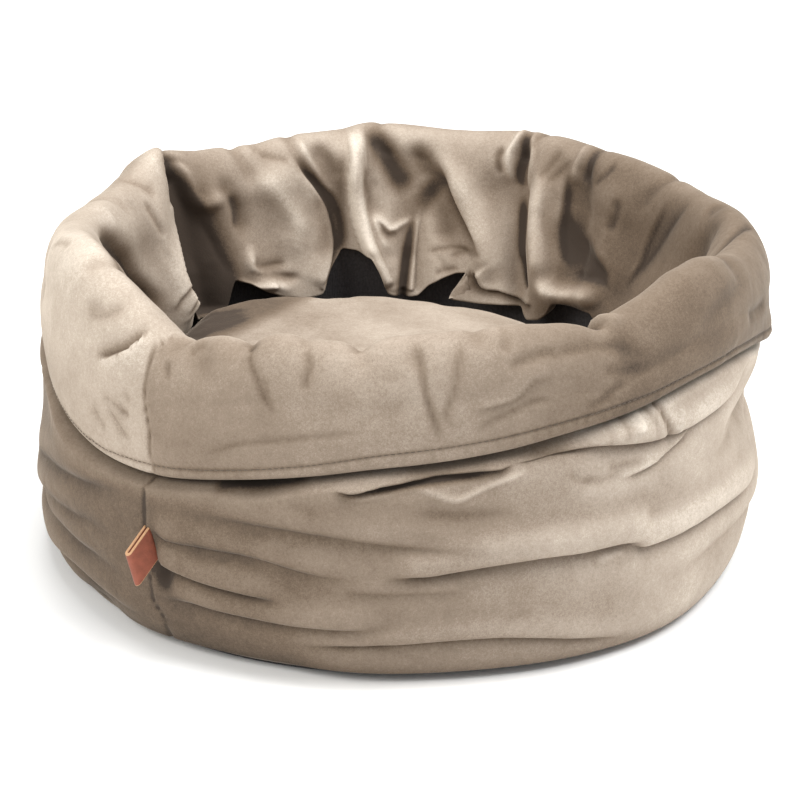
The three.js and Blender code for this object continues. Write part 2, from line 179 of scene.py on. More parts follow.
# Small creases strewn over the cloth, with their seeds.
Strewn = namedtuple("Strewn", "seed count heights slant length deep wide")
WALL_STREWN = Strewn(11, 120, (10, 135), 0, 46, 0.7, 3.4)
LINING_STREWN = Strewn(21, 110, (105, 215), 70, 44, 1.0, 3.6)
CUFF_STREWN = Strewn(31, 70, (125, 210), 25, 40, 0.5, 3.4)
STREWN_RADIUS = 200
STREWN_LEAN = 28
STREWN_BOW = 0.12
STREWN_CREASE_SHARE = 0.35

# Slow swelling of the stuffing, with its seeds.
Swell = namedtuple("Swell", "seed radius length size")
WALL_SWELL = Swell(5, WALL_BELLY_RADIUS, 90, 0.5)
CUFF_SWELL = Swell(8, CUFF_RADIUS, 80, 0.35)
SWELL_WAVES = 14

# The velvet: painted shade in valleys and highlight on ridges, painted light on faces turned up and to the
# left, the other things that lighten or darken its pile, and the tones from dark to light.
RELIEF_SIZE = 2.5
RELIEF_SHADING_GAIN = 0.16
PAINTED_LIGHT_GAIN = 0.14
PAINTED_LIGHT_DIRECTION = (-0.35, -0.2, 0.6)
HIDDEN_NAP = 0.2
LOWER_LEFT_DARKER = 0.12
LOWER_LEFT_AT = 195
LOWER_LEFT_SPREAD = 40
LOWER_LEFT_HEIGHTS = (-185, -140)
CUSHION_NAP = 0.55
CUSHION_PAINTED_SHADE = 0.42
PileNoise = namedtuple("PileNoise", "scale detail roughness gain")
PILE_NOISE = [
    PileNoise(9, 3, 0.5, 0.22),
    PileNoise(38, 4, 0.6, 0.18),
    PileNoise(150, 3, 0.6, 0.1),
    PileNoise(520, 3, 0.6, 0.22),
    PileNoise(1500, 2, 0.5, 0.28),
]
PILE_TONES = [
    (0, (0.055, 0.041, 0.032, 1)),
    (0.25, (0.142, 0.104, 0.074, 1)),
    (0.5, (0.242, 0.19, 0.146, 1)),
    (0.75, (0.408, 0.343, 0.282, 1)),
    (1, (0.688, 0.616, 0.532, 1)),
]

# The studio, in metres.
CAMERA_TARGET = Vector((0.0025, 0, 0.09))
CAMERA_DISTANCE = 1.7
CAMERA_ELEVATION = 21.55
CAMERA_LENS = 117.72
CAMERA_SENSOR = 36
LIGHT_TARGET = Vector((0, 0, 0.1))
Light = namedtuple("Light", "name place size power colour")
LIGHTS = [
    Light("key", (1.4, -0.5, 2.2), 1.6, 59, (1, 0.995, 0.98)),
    Light("fill", (-1.6, -0.9, 1.3), 1.4, 27, (1, 0.965, 0.9)),
    Light("top", (0, 0.2, 2.4), 1.6, 38.4, (1, 1, 1)),
]
SKY_COLOUR = (0.93, 0.97, 1.0, 1)
SKY_STRENGTH = 0.64
FLOOR_HALF_SIZE = 12000
FLOOR_HEIGHT = -0.2
FLOOR_TONES = [(0, (0.93, 0.93, 0.93, 1)), (1, (0.96, 0.96, 0.96, 1))]

# How finely the round is divided: angle, share of the steps.
STEP_DENSITY = [
    (0, 0.8), (25, 1.3), (60, 1.6), (150, 1.5), (175, 0.8), (200, 1), (230, 1.2), (300, 1.2), (340, 0.9),
]

Row = namedtuple("Row", "at rise out spread")
RIM_SHAPE = [
    Row(146, 8, 7, 9),
    Row(97, 7, 5, 8),
    Row(62, 5, 5, 9),
    Row(4, 2, 0, 12),
    Row(176, 2, 2, 10),
    Row(205, 4, 0, 11),
    Row(232, -21, -2, 8),
    Row(245, -9, 0, 6),
    Row(262, -8, 0, 10),
    Row(304, -9, -1, 4),
    Row(322, 8, 2, 13),
]

# Where the stuffing leaves the rim further in than the source has it.
RIM_DRAWN_IN = [Row(163, 0, -3, 14)]

# Height of the rim's crest round the bed, scallops included: angle, height.
RIM_LINE = [
    (0, 209), (9, 210), (17, 207.5), (25, 206.8), (33, 209.5), (41, 211.5), (50, 212.5), (56, 214.5),
    (62, 215.5), (68, 215), (74, 213.5), (80, 213.5), (86, 215.5), (91, 217), (94, 218.5), (97, 216.5),
    (100, 213.5), (106, 213.5), (112, 214), (118, 210), (125, 211.5), (131, 212.5), (135, 215.5),
    (139, 219), (143, 218.5), (147, 212), (152, 207.5), (158, 208.5), (164, 210), (170, 209.5), (178, 210),
    (185, 213.5), (192, 219), (200, 225), (206, 227), (212, 223), (220, 214.8), (226, 203.5), (231.5, 192.7),
    (235, 193), (237, 196), (241, 200), (246, 199.5), (248.6, 204.5), (250.8, 207.5), (253.8, 207.5),
    (255.8, 206), (258, 206.4), (261.6, 206.6), (264.7, 203), (266.7, 207.5), (269, 210.4), (275, 212.3),
    (281, 213.6), (288, 214.5), (297, 211), (300, 208), (302.3, 205), (303.5, 206.5), (306, 210),
    (309, 213.5), (314, 218), (320, 225), (328, 225.5), (335, 219), (342, 212), (352, 208),
]

# Height of the cuff's hem round the bed: angle, height.
HEM_LINE = [
    (0, 146), (40, 140), (85, 144), (130, 138), (170, 140), (185, 134), (190, 131.5), (196, 128.5),
    (201, 126.5), (205, 124), (211, 120.5), (217, 117.2), (223, 115), (229, 114.6), (233.5, 115),
    (238.5, 118), (243, 121.5), (248, 125.2), (255, 130), (261, 134), (266, 138), (273, 141), (280, 144),
    (288, 147.5), (294, 151.5), (300, 154), (308, 157), (313, 161), (320, 164), (331, 163), (342, 155),
    (351, 147),
]

# Height of the hem's own band of cloth, from its edge to the line of stitches: angle, height.
HEM_BAND = [
    (0, 6.5), (190, 2.5), (217, 2.8), (221, 3.4), (224, 4.6), (228, 6), (234, 6.6), (248, 6.4), (257, 7),
    (264, 8.2), (270, 9), (290, 9), (305, 8.5), (318, 6), (340, 6),
]

# The upright seam of the cuff and the wall: height, angle.
SEAM_LINE = [
    (8, 232.5), (21, 232.8), (34, 231.3), (46, 231.1), (60, 232.3), (72, 231.2), (85, 230.7), (106, 230.9),
    (118, 232.4), (129, 232), (138, 232), (145.5, 231.6), (152, 231), (158, 230.4), (168, 230), (180, 230.1),
    (189, 230.4), (194, 231.6), (206, 234),
]

# Height of the lining's lower edge round the bed, where it lies on the cushion or lifts off it:
# angle, height.
LINING_EDGE = [
    (0, 92), (20, 94), (30, 97), (35, 101), (37, 108), (38.6, 112), (44, 111.5), (49, 111), (50.7, 110),
    (52.3, 101), (54.3, 96), (58, 93), (59.3, 96), (60.2, 100.5), (64, 101), (69, 100), (71.5, 101),
    (72.2, 108), (72.8, 116), (73.4, 121), (76, 120), (79, 116), (82.4, 110), (85, 101.4), (87, 100),
    (90, 101), (92.1, 103.4), (93.8, 118.8), (95.9, 131), (99, 135), (102, 134), (105, 120), (107.1, 105),
    (112.7, 105), (118, 109.4), (122.7, 116), (126.8, 123.6), (129.8, 126.6), (131, 118), (132, 108),
    (135, 104), (140.6, 105), (141.6, 110), (142.8, 116), (144.6, 112.5), (146, 108), (149, 104), (154, 98),
    (160, 94), (180, 90), (210, 94), (235, 88), (262, 94), (290, 88), (318, 95), (340, 90),
]

# How far the lining's lower edge is drawn sideways: angle, turn.
EDGE_SHIFT = [(66, 0), (69, 2), (71.5, 6.3), (72.2, 3.6), (72.8, 0.6), (73.4, 0)]

# How light the pile looks round the bed, partly the lie of its nap and partly painted light and sheen, from
# 0 (dark) to 1 (light): angle, level.
CUFF_NAP_AND_LIGHT = [
    (0, 0.2), (60, 0.36), (120, 0.48), (150, 0.5), (180, 0.62), (200, 0.69), (215, 0.67), (230.2, 0.62),
    (231.4, 0.39), (240, 0.36), (258, 0.475), (278, 0.48), (292, 0.39), (305, 0.25), (335, 0.19),
]
LINING_NAP_AND_LIGHT = [
    (0, 0.17), (30, 0.16), (48, 0.21), (58, 0.4), (66, 0.53), (80, 0.57), (113, 0.62), (130, 0.47),
    (141, 0.42), (145, 0.6), (160, 0.66), (180, 0.68), (200, 0.68), (232, 0.62), (270, 0.5), (310, 0.3),
]
WALL_NAP_AND_LIGHT = [
    (0, 0.67), (40, 0.62), (90, 0.5), (150, 0.3), (190, 0.12), (215, 0.09), (230.2, 0.1), (231.4, 0.08),
    (240, 0.16), (270, 0.37), (290, 0.5), (320, 0.7), (345, 0.67),
]

Tuck = namedtuple("Tuck", "at lower spread")
TUCKS = [Tuck(250.5, 4, 5), Tuck(60, 6, 25)]

Lump = namedtuple("Lump", "waves size turn")
LUMPS = [Lump(3, 1.6, 20), Lump(5, 1.2, 75), Lump(8, 0.9, 140)]

# Broad upright folds of the lining: heights of its three points, outward depth and width.
Broad = namedtuple("Broad", "top mid low start end depth width")
LINING_BROAD = [
    Broad(142.5, 141, 137, 226, 98, 12, 11),
    Broad(152, 150, 149, 218, 100, -6, 12),
    Broad(174, 165, 156, 200, 110, 9, 13),
    Broad(132, 128, 120, 200, 100, -5, 16),
    Broad(109, 103.5, 106, 218, 96, 8, 10),
    Broad(98, 98.5, 94, 222, 122, -6, 9),
    Broad(93, 89, 88, 215, 120, 6, 8),
    Broad(85, 86, 87, 214, 96, 8, 11),
    Broad(80, 74, 69, 200, 125, -4, 12),
    Broad(68, 67, 66, 190, 104, 4, 11),
    Broad(64, 63.2, 60, 224, 96, 10, 8),
    Broad(59, 57, 53, 200, 110, -7, 10),
    Broad(49, 49, 46, 214, 120, 7, 10),
    Broad(40, 40, 40, 200, 110, -5, 14),
    Broad(22, 27, 34, 212, 120, 4, 14),
    Broad(4, 9, 14, 218, 100, 8, 14),
    Broad(350, 352, 350, 200, 92, -6, 22),
    Broad(331, 328, 330, 208, 92, 8, 13),
    Broad(312, 316, 314, 200, 96, -5, 18),
    Broad(300, 297, 300, 206, 92, 7, 12),
    Broad(277, 281, 276, 204, 94, 7, 13),
    Broad(262, 263, 265, 196, 100, -5, 16),
    Broad(249, 247, 250, 200, 94, 7, 12),
    Broad(234, 231, 230, 190, 96, 6, 11),
    Broad(216, 214, 218, 206, 92, 8, 13),
    Broad(199, 196, 197, 206, 96, 6, 14),
]

Dent = namedtuple("Dent", "at z deep wide high")
CUFF_DENTS = [
    Dent(188, 132, 7, 80, 30),
    Dent(352, 150, -6, 30, 10),
    Dent(240, 186, 2, 9, 9),
    Dent(272.8, 203, 1.4, 5, 5),
    Dent(265.5, 201, 1.2, 5, 5),
    Dent(270.1, 175, 1.2, 6, 5),
    Dent(305, 192, 3, 9, 12),
    Dent(20, 190, 4, 12, 18),
    Dent(74, 188, 4, 14, 16),
    Dent(120, 184, 4, 14, 20),
    Dent(168, 192, 3, 12, 14),
]
WALL_DENTS = [
    Dent(352, 108, 16, 70, 16),
    Dent(352, 82, 3.5, 70, 18),
    Dent(352, 135, 3, 60, 10),
    Dent(188, 108, 5, 60, 24),
    Dent(188, 18, -6, 80, 18),
    Dent(318, 8, -9, 105, 24),
    Dent(252, 4, 2.5, 30, 18),
    Dent(214, 4, 6, 30, 18),
]

# A fold runs along a path of (angle, height) points. Its raised side lies to the left of the path.
# Forms: groove (soft valley), crease (sharp valley), ridge (soft), tube (round with sharp sides),
# lip (raised on one side, low on the other) and roll (a level roll that hangs over a crease).
# Shade is painted shade beside the fold (a negative shade is a painted highlight), and grow widens the fold
# towards its path's end.
Fold = namedtuple(
    "Fold", "form deep wide path back lap start end shade grow", defaults=(0, 0, 0.25, 0.25, 0, 1))

# The flap and the recess beside it, with painted shade deep in the recess and beside the flap.
FLAP_FOLDS = [
    Fold("lip", 12, 8, ((140.5, 222), (142.5, 213), (143.6, 203), (143.8, 190), (143.9, 178), (145, 166),
         (147.3, 152), (148.3, 140), (147.5, 128), (144.5, 118)), 9, 4, 0.03, 0.1, 0.6),
    Fold("groove", 7, 5, ((140.8, 218), (141.6, 205), (141.2, 190), (141, 172), (141.2, 155),
         (140.5, 140), (138, 122), (137, 104)), end=0.03, shade=0.5, grow=2.2),
    Fold("groove", 2, 5, ((140.9, 220), (140.3, 205), (139.2, 190), (137.8, 172), (136.2, 155),
         (134.6, 140), (133.6, 122), (133, 102)), end=0.03, shade=0.95, grow=2),
    Fold("ridge", 5, 4, ((139.5, 218), (138.4, 205), (137.7, 190), (135.5, 182), (131.7, 184),
         (129, 187)), shade=-0.1, grow=1.4),
    Fold("crease", 2, 3, ((136.6, 181), (134.4, 161), (131.8, 139), (128.6, 126)), shade=0.15),
    Fold("groove", 3, 7, ((131.2, 200), (128, 184), (126.2, 167), (125, 149.6)), shade=0.14),
    Fold("ridge", 4, 12, ((119, 204), (115, 176), (113, 152), (117, 132)), shade=-0.05),
    Fold("ridge", 4, 4.5, ((123.6, 150.5), (125.4, 133), (119.3, 119), (114.6, 110)), shade=-0.1),
    Fold("crease", 3, 3, ((126, 137), (122.4, 131.5), (115.2, 130.3)), shade=0.25),
    Fold("groove", 3, 3, ((127, 133), (124, 127), (117, 121), (112, 119)), shade=0.12),
    Fold("crease", 1.8, 2.2, ((152.5, 210), (150.7, 204), (148.9, 196.5)), shade=0.16),
    Fold("groove", 2, 3, ((153.5, 199), (152.3, 185.7), (150.4, 171)), shade=0.1),
    Fold("groove", 7, 7, ((182, 200), (172, 188), (165.5, 168), (161.2, 150), (157, 134), (153, 116)),
         start=0.4, shade=0.55),
    Fold("groove", 3, 7, ((166, 176), (162, 158), (158, 140), (154, 124)), shade=0.25),
    Fold("groove", 1, 12, ((139, 205), (136, 182), (133.5, 160), (131.5, 140), (131, 106)), end=0.03,
         shade=0.4),
    Fold("lip", 2, 2, ((146.8, 146), (148.5, 139.5), (151.6, 129.6), (153, 121)), 1.4, shade=0.4),
    Fold("lip", 2, 2, ((145.8, 139), (147.3, 131.5), (150.9, 117)), 1.4, shade=0.4),
    Fold("lip", 1.8, 2, ((144.5, 131), (145.8, 123.4), (149.2, 117.7), (150.2, 111)), 1.4, shade=0.4),
    Fold("lip", 2.4, 2.4, ((145.3, 124.5), (141.6, 113), (138.2, 106.5), (134.2, 109.2)), 2, shade=0.4),
    Fold("ridge", 4, 2.5, ((129.5, 127), (127, 121.5), (123.4, 119.4), (119.3, 118)), end=0.1,
         shade=-0.1),
]

# The upright folds at the back, from the picture's middle to its right.
BACK_FOLDS = [
    Fold("lip", 4, 5, ((112, 207), (111.5, 200), (110.1, 189), (107.8, 177.6), (105.2, 162.7), (104, 142),
         (104.6, 128.7), (106.6, 115.8), (107.8, 108)), 5, 1.5, 0.3, 0.08, 0.5),
    Fold("groove", 4, 3.2, ((110.8, 206), (109.4, 194), (106.6, 181), (103.6, 168), (102, 154),
         (102, 138), (104, 122)), shade=0.5, grow=0.8),
    Fold("groove", 2, 8, ((108, 178), (106, 160), (105.6, 142), (107, 124)), shade=0.2),
    Fold("ridge", 1.5, 6, ((122, 196), (117, 178), (113, 160), (111, 144)), shade=-0.08),
    Fold("groove", 2, 4, ((128.5, 186), (127, 172), (128, 158)), shade=0.2),
    Fold("ridge", 5, 3.6, ((110.4, 216), (109.4, 200), (106.1, 181), (102.3, 165)), shade=-0.1),
    Fold("groove", 2, 5, ((106.6, 212), (104.4, 198), (101.8, 182)), shade=0.12),
    Fold("crease", 1.5, 2.2, ((119, 207.8), (118, 205), (112.8, 199.5)), shade=0.15),
    Fold("crease", 1.2, 2, ((120.9, 210), (118.7, 208), (118.4, 201.8)), shade=0.12),
    Fold("tube", 6, 6, ((98.2, 222), (98, 210), (98.1, 195), (99, 177), (97.8, 152), (95.9, 134),
         (91.9, 107)), start=0.2, end=0.05, shade=-0.17),
    Fold("crease", 0.8, 1.6, ((98.2, 216), (98, 200), (98.6, 184), (98.6, 166), (96.6, 140)), shade=0.2),
    Fold("crease", 2.4, 2, ((101, 205), (101.7, 190), (101.8, 172), (101, 155)), shade=0.2),
    Fold("crease", 3, 1.8, ((96.3, 210), (97, 191), (96.1, 170), (95.4, 154.5)), shade=0.3),
    Fold("groove", 6, 6, ((95, 222), (93.9, 211), (92.7, 203.7), (90.4, 187.7), (86.8, 169)), shade=0.55,
         grow=1.5),
    Fold("ridge", 3.5, 2.4, ((95.5, 161), (92.6, 152), (90.9, 147.4), (88.4, 150), (85.8, 154.7)),
         shade=-0.1),
    Fold("ridge", 3, 2.4, ((95.5, 160), (93, 141), (91.6, 134)), shade=-0.08),
    Fold("crease", 2.2, 2.2, ((94.2, 150), (91.8, 143), (89.4, 144)), shade=0.22),
    Fold("crease", 2, 2.4, ((97.4, 133), (96, 133), (94, 119.6), (92.5, 105)), end=0.05, shade=0.2),
    Fold("ridge", 2.5, 2.5, ((101.5, 137), (104.2, 123), (107.5, 108)), end=0.05, shade=-0.1),
    Fold("groove", 6, 1.8, ((86.2, 162), (87, 146.5), (87.7, 131.9), (88.4, 113.2), (88.8, 98)),
         start=0.5, end=0.02, shade=0.95, grow=1.8),
    Fold("lip", 5, 3.5, ((84.4, 170), (85.4, 147), (86, 126.7), (86.3, 104)), 2, 1.5, 0.5, 0.02),
    Fold("groove", 5, 7, ((87.4, 209), (83.2, 189), (81.1, 182), (84.3, 167), (86.5, 150)), shade=0.28),
    Fold("ridge", 3.5, 9, ((81.3, 178.5), (76, 177), (72.7, 164.6), (69.8, 148.7), (68.1, 132.4),
         (67.4, 112.5)), shade=-0.05),
    Fold("lip", 3, 6, ((70.4, 130), (72.4, 146), (76.2, 165), (79.5, 186), (82, 198)), 3, 1, 0.3, 0.3,
         0.4),
    Fold("groove", 3, 9, ((84.6, 182), (81, 165), (79, 148), (79, 134)), shade=0.26),
    Fold("crease", 1.8, 2.2, ((83.6, 130), (80.5, 134.4), (75.2, 136.7), (71.2, 133.8)), shade=0.28),
    Fold("crease", 1.5, 2.2, ((78.2, 129), (73.8, 135), (69.3, 132.8)), shade=0.2),
    Fold("crease", 1.5, 2.2, ((81.6, 117.7), (78.6, 120.8), (75, 123.3)), shade=0.2),
    Fold("lip", 4, 3.5, ((55.9, 105), (60.5, 106.1), (65.1, 110.6), (68.5, 111.4), (70.5, 118),
         (71.5, 122)), 4, 2, 0.15, 0.05, 0.55),
]

# The folds at the right of the picture.
RIGHT_FOLDS = [
    Fold("ridge", 5, 2.6, ((64.5, 226), (65.5, 211), (66.6, 201), (66.1, 188), (64.8, 177.5)), start=0.05,
         shade=-0.1),
    Fold("groove", 4, 2.6, ((64, 222), (64.1, 211), (64, 202), (64.6, 188), (63.6, 177)), shade=0.7),
    Fold("ridge", 4, 2, ((63, 222), (62.8, 210), (62.2, 201), (62.2, 186.6), (61.6, 175)), shade=-0.08),
    Fold("groove", 2.5, 2, ((68, 208), (68.8, 199), (68, 187)), shade=0.22),
    Fold("groove", 8, 2.6, ((63.3, 176), (62.9, 160), (62.2, 140), (60.5, 128), (58.6, 114)), end=0.05,
         shade=0.9),
    Fold("tube", 7, 7, ((58.9, 190), (58.9, 177), (57.9, 159), (55.4, 142), (53.7, 122)), shade=-0.12),
    Fold("lip", 3, 3.5, ((53.2, 197), (53, 179.5), (52.6, 159), (50.7, 141), (48, 131)), 4, shade=0.45),
    Fold("groove", 4, 9, ((52, 172), (51, 158), (48.6, 148), (42.7, 141), (35.8, 134)), shade=0.32),
    Fold("crease", 3, 3, ((48.6, 130.5), (44.1, 131.5), (38.7, 135), (34.5, 128.7)), shade=0.3),
    Fold("ridge", 6, 6, ((54.6, 130), (52.7, 122), (49.6, 117.5), (42.5, 122), (36.4, 125)), shade=-0.3),
    Fold("crease", 2, 2.4, ((51.5, 110), (46.8, 111), (38.9, 114.4), (35.2, 122.4)), shade=0.2),
    Fold("ridge", 3.5, 2.2, ((51.4, 220), (51.1, 209), (51.6, 198), (51.1, 188)), start=0.1, shade=-0.08),
    Fold("groove", 3, 1.8, ((49, 216), (48.9, 209), (49.1, 198), (49.5, 190.6)), start=0.1, shade=0.3),
    Fold("crease", 2.4, 2.2, ((55.5, 211), (57.3, 199.5), (59.4, 188.5)), shade=0.2),
    Fold("crease", 1.8, 2, ((52.8, 206), (54.6, 197), (57.4, 187)), shade=0.14),
    Fold("groove", 1.5, 2.2, ((42.6, 209.6), (43.9, 201.4), (46.6, 191.3)), shade=0.12),
    Fold("groove", 2, 3.5, ((39.1, 191.6), (38.1, 180.5), (39.3, 163.6)), shade=0.12),
    Fold("lip", 1.8, 3, ((26.7, 200), (26.8, 188.5), (29.1, 168), (29.8, 150), (32.2, 130)), 1.4,
         shade=0.14),
    Fold("crease", 2, 3, ((18.3, 205), (21.3, 191), (26.4, 163), (30, 138)), shade=0.14),
    Fold("crease", 1.6, 3, ((50.5, 155.5), (45, 148), (35.4, 136)), shade=0.14),
    Fold("groove", 1.6, 4, ((46, 162), (42.8, 149), (35.3, 133)), shade=0.08),
    Fold("crease", 4, 6, ((2, 226), (8, 214), (14, 206)), start=0.05, shade=0.1),
]
LINING_FOLDS = FLAP_FOLDS + BACK_FOLDS + RIGHT_FOLDS

CUFF_FOLDS = [
    Fold("lip", 3, 4, ((228.6, 197), (227, 189), (225.6, 183.7), (223.7, 179.7), (221.4, 175.9),
         (219, 173)), 3.5, 0.5, 0.2, 0.3, 0.5),
    Fold("crease", 2.6, 3.4, ((215, 195), (218.4, 198), (220.6, 200.4), (222.1, 203.9), (224, 207)),
         shade=0.12),
    Fold("crease", 1.2, 2, ((215, 201), (216.9, 202.3), (219.5, 203.8)), shade=0.06),
    Fold("crease", 2, 2, ((221, 154), (224.1, 151), (228.3, 145)), shade=0.05),
    Fold("crease", 1.6, 1.8, ((226.1, 160), (227.9, 155)), shade=0.04),
    Fold("crease", 2, 2, ((222.4, 147), (224.1, 143.2), (226.5, 135.5), (228.6, 133)), shade=0.06),
    Fold("crease", 1.8, 2, ((218.4, 144), (219.8, 139.8), (222.7, 130.8)), shade=0.05),
    Fold("crease", 1.6, 1.8, ((225.2, 148), (228, 148)), shade=0.04),
    Fold("crease", 2, 1.5, ((247.6, 199), (248.2, 195), (249.4, 188.9), (250.3, 181.7), (251.1, 175.2),
         (252, 169)), start=0.1, shade=0.28),
    Fold("crease", 1.2, 1.4, ((250.2, 190), (250.8, 186.8), (251.7, 177.5), (252.6, 164.8)), shade=0.16),
    Fold("groove", 1.6, 2.2, ((257.6, 206), (257.3, 201), (257.6, 195.3), (256.8, 181.5)), shade=0.12),
    Fold("groove", 4, 3, ((247.1, 199), (247.8, 202), (248.6, 205)), shade=0.3),
    Fold("groove", 2.2, 3, ((236.9, 188), (237.8, 194), (239.8, 198)), shade=0.12),
    Fold("groove", 1.4, 2.4, ((233.2, 183), (233.4, 180.7), (234.4, 174.1)), shade=0.1),
    Fold("groove", 1, 2, ((240.1, 133.3), (244, 141), (248.3, 147.9), (256.8, 155.3), (267, 163)),
         shade=0.05),
    Fold("groove", 1.8, 2.4, ((272.3, 213), (273.3, 207), (273.8, 195), (274.3, 183), (275.1, 172),
         (276, 160), (275.9, 153)), shade=0.14),
    Fold("crease", 1.8, 1.8, ((280.2, 216), (279, 202), (278.4, 189), (277.6, 179), (277, 171),
         (278.8, 160)), shade=0.16),
    Fold("groove", 1.4, 3, ((286.6, 216), (285.5, 204)), shade=0.08),
    Fold("lip", 1.8, 3, ((280.4, 173), (283.3, 175), (287.1, 179), (289.8, 188), (293.5, 189)), 1,
         shade=0.05),
    Fold("groove", 1.4, 2.4, ((280.5, 158), (283.4, 166), (287.5, 172), (289.7, 175), (293.4, 174)),
         shade=0.04),
    Fold("groove", 1.6, 3, ((285.2, 196), (290.2, 201), (294.1, 202)), shade=0.04),
    Fold("groove", 1.4, 3.4, ((299.6, 187), (304.8, 182), (309.4, 181)), shade=0.03),
    Fold("groove", 1.4, 3.4, ((290.8, 200), (300.5, 200), (309.4, 188)), shade=0.03),
    Fold("groove", 1.2, 6, ((303, 182), (314, 186), (330, 186))),
    Fold("groove", 1.4, 3, ((297, 165), (301, 171), (305, 179)), shade=0.06),
    Fold("groove", 2, 5, ((334, 182), (340, 180), (347, 176))),
    Fold("groove", 1.6, 6, ((318, 196), (328, 204), (338, 206))),
    Fold("crease", 2.2, 5, ((10, 186), (18, 180), (24, 168))),
    Fold("groove", 2, 6, ((36, 204), (40, 186), (38, 166))),
    Fold("crease", 2, 4, ((60, 210), (64, 190), (62, 172))),
    Fold("groove", 2, 6, ((96, 212), (92, 192), (96, 170))),
    Fold("crease", 2, 5, ((118, 206), (124, 190), (122, 168))),
    Fold("groove", 2.2, 7, ((146, 214), (150, 192), (146, 172))),
    Fold("crease", 2, 5, ((164, 200), (170, 188), (180, 182))),
    Fold("groove", 1.8, 6, ((184, 204), (190, 190), (188, 168))),
]

# Pleats that cross the rim. Heights here are distances across the roll: 0 is its top, positive outside.
RIM_FOLDS = [
    Fold("crease", 4, 3, ((144.4, -40), (142.4, -18), (140, 0), (138.5, 14)), start=0.02, shade=0.35),
    Fold("groove", 2.4, 5, ((122, -40), (124, -6), (122, 22))),
    Fold("groove", 2.2, 5, ((109, -44), (112, -8), (110, 20)), shade=0.06),
    Fold("crease", 2.6, 4, ((94.6, -46), (94, -8), (91, 22)), shade=0.1),
    Fold("crease", 3, 3, ((64, -48), (62, -8), (59, 20)), start=0.02, shade=0.15),
    Fold("crease", 2.2, 3.4, ((49, -46), (48, -10), (49, 16)), shade=0.1),
    Fold("groove", 2.2, 5, ((33, -40), (30, -6), (31, 24))),
    Fold("crease", 3, 2.6, ((3, 16), (358.4, 3.4), (353, -11), (346, -28)), start=0.15, shade=0.22),
    Fold("groove", 2, 6, ((160, -30), (163, 0), (168, 24))),
    Fold("groove", 3, 9, ((190, -14), (205, -18), (216, -20), (226, -18)), start=0.5, shade=0.5),
    Fold("crease", 1.6, 2.4, ((191, 22), (196, 16), (203, 14)), shade=0.15),
    Fold("crease", 4, 4, ((246.5, -40), (246.5, -8), (247.5, 14)), start=0.1, shade=0.15),
    Fold("groove", 1.2, 4, ((256, -40), (256, -6), (257, 14)), start=0.1),
    Fold("crease", 4, 4, ((264.5, -40), (264.7, -6), (264, 12)), start=0.1, shade=0.1),
    Fold("crease", 6, 3, ((301, -44), (302.2, -10), (303.4, 9)), start=0.05, shade=0.25),
    Fold("ridge", 3, 3.5, ((304, -24), (305, 0), (306, 14))),
    Fold("groove", 2, 5, ((236, -34), (235, -4), (233, 20))),
    Fold("groove", 2, 5, ((284, -30), (282, 0), (283, 22))),
    Fold("groove", 2.2, 6, ((334, -36), (336, -4), (332, 26))),
    Fold("groove", 2.2, 6, ((215, -30), (213, 0), (211, 22))),
]

# The wall's rolls left of the seam, then right of it.
WALL_ROLLS = [
    Fold("roll", 3.8, 7, ((184, 62), (198, 79), (208.6, 87), (217, 92), (229, 98)), 3, 2, 0.25, 0.35),
    Fold("roll", 3.8, 7, ((180, 40), (200, 58), (213, 65), (219, 67), (226, 62)), 3, 2, 0.25, 0.35),
    Fold("roll", 3.8, 7, ((182, 34), (203, 43), (212, 44), (221, 45), (227, 36)), 3, 2, 0.25, 0.35),
    Fold("roll", 3.4, 6, ((170, 8), (190, 14), (206, 20), (216, 18), (232, 16)), 2, 2, 0.25, 0.3),
    Fold("roll", 3, 5, ((231, 83), (234.6, 77), (241.4, 78), (249.7, 77.5), (256.8, 73), (263.7, 70),
         (270, 67)), 2, 3, 0.1, 0.35),
    Fold("roll", 3.4, 5, ((236, 94), (242, 97), (249, 98), (257, 97.5), (264, 95), (272, 92), (281, 88.5),
         (291, 84)), 2, 2, 0.3, 0.3),
    Fold("roll", 6, 5, ((232.3, 60), (237.4, 57), (242.3, 55), (249.5, 53), (256, 50)), 3.5, 4, 0.08,
         0.35),
    Fold("roll", 5, 5, ((231.7, 34), (237.7, 38), (244.3, 37), (254.3, 36.5), (263.6, 38), (271, 40)), 3,
         3),
    Fold("roll", 5, 3.6, ((254, 20), (261.3, 25.5), (268.2, 28.5), (275, 30), (282, 30), (288, 28),
         (299, 19), (310, 6)), 1.5, 3, 0.2, shade=0.08),
    Fold("roll", 2, 4, ((262, 61.5), (270, 62), (282, 60)), 1, 1),
    Fold("roll", 8, 5, ((267, 70), (271, 73), (276, 76), (284, 79), (291, 80), (297, 78.5), (304, 77.5),
         (309.5, 73)), 5, 6, 0.2, 0.06),
    Fold("roll", 6.5, 4.5, ((307, 70), (312, 68.5), (318, 67), (328, 65.5), (340, 61), (352, 57)), 4, 5,
         0.05),
    Fold("roll", 2, 6, ((310, 36), (330, 40), (350, 36), (20, 30)), 1, 1),
    Fold("roll", 5, 6, ((345, 88), (15, 98), (45, 84)), 3, 3),
    Fold("roll", 6, 6, ((10, 56), (42, 66), (75, 52)), 3, 3),
    Fold("roll", 5, 5, ((25, 26), (52, 22), (80, 30)), 3, 3),
    Fold("roll", 6, 6, ((60, 94), (90, 84), (120, 92)), 3, 4),
    Fold("roll", 6, 6, ((70, 40), (102, 50), (135, 38)), 3, 3),
    Fold("roll", 6, 6, ((105, 66), (135, 74), (165, 62)), 3, 4),
    Fold("roll", 5, 5, ((115, 18), (146, 26), (178, 20)), 3, 3),
    Fold("roll", 5, 6, ((125, 104), (155, 100), (185, 88)), 2, 3),
]
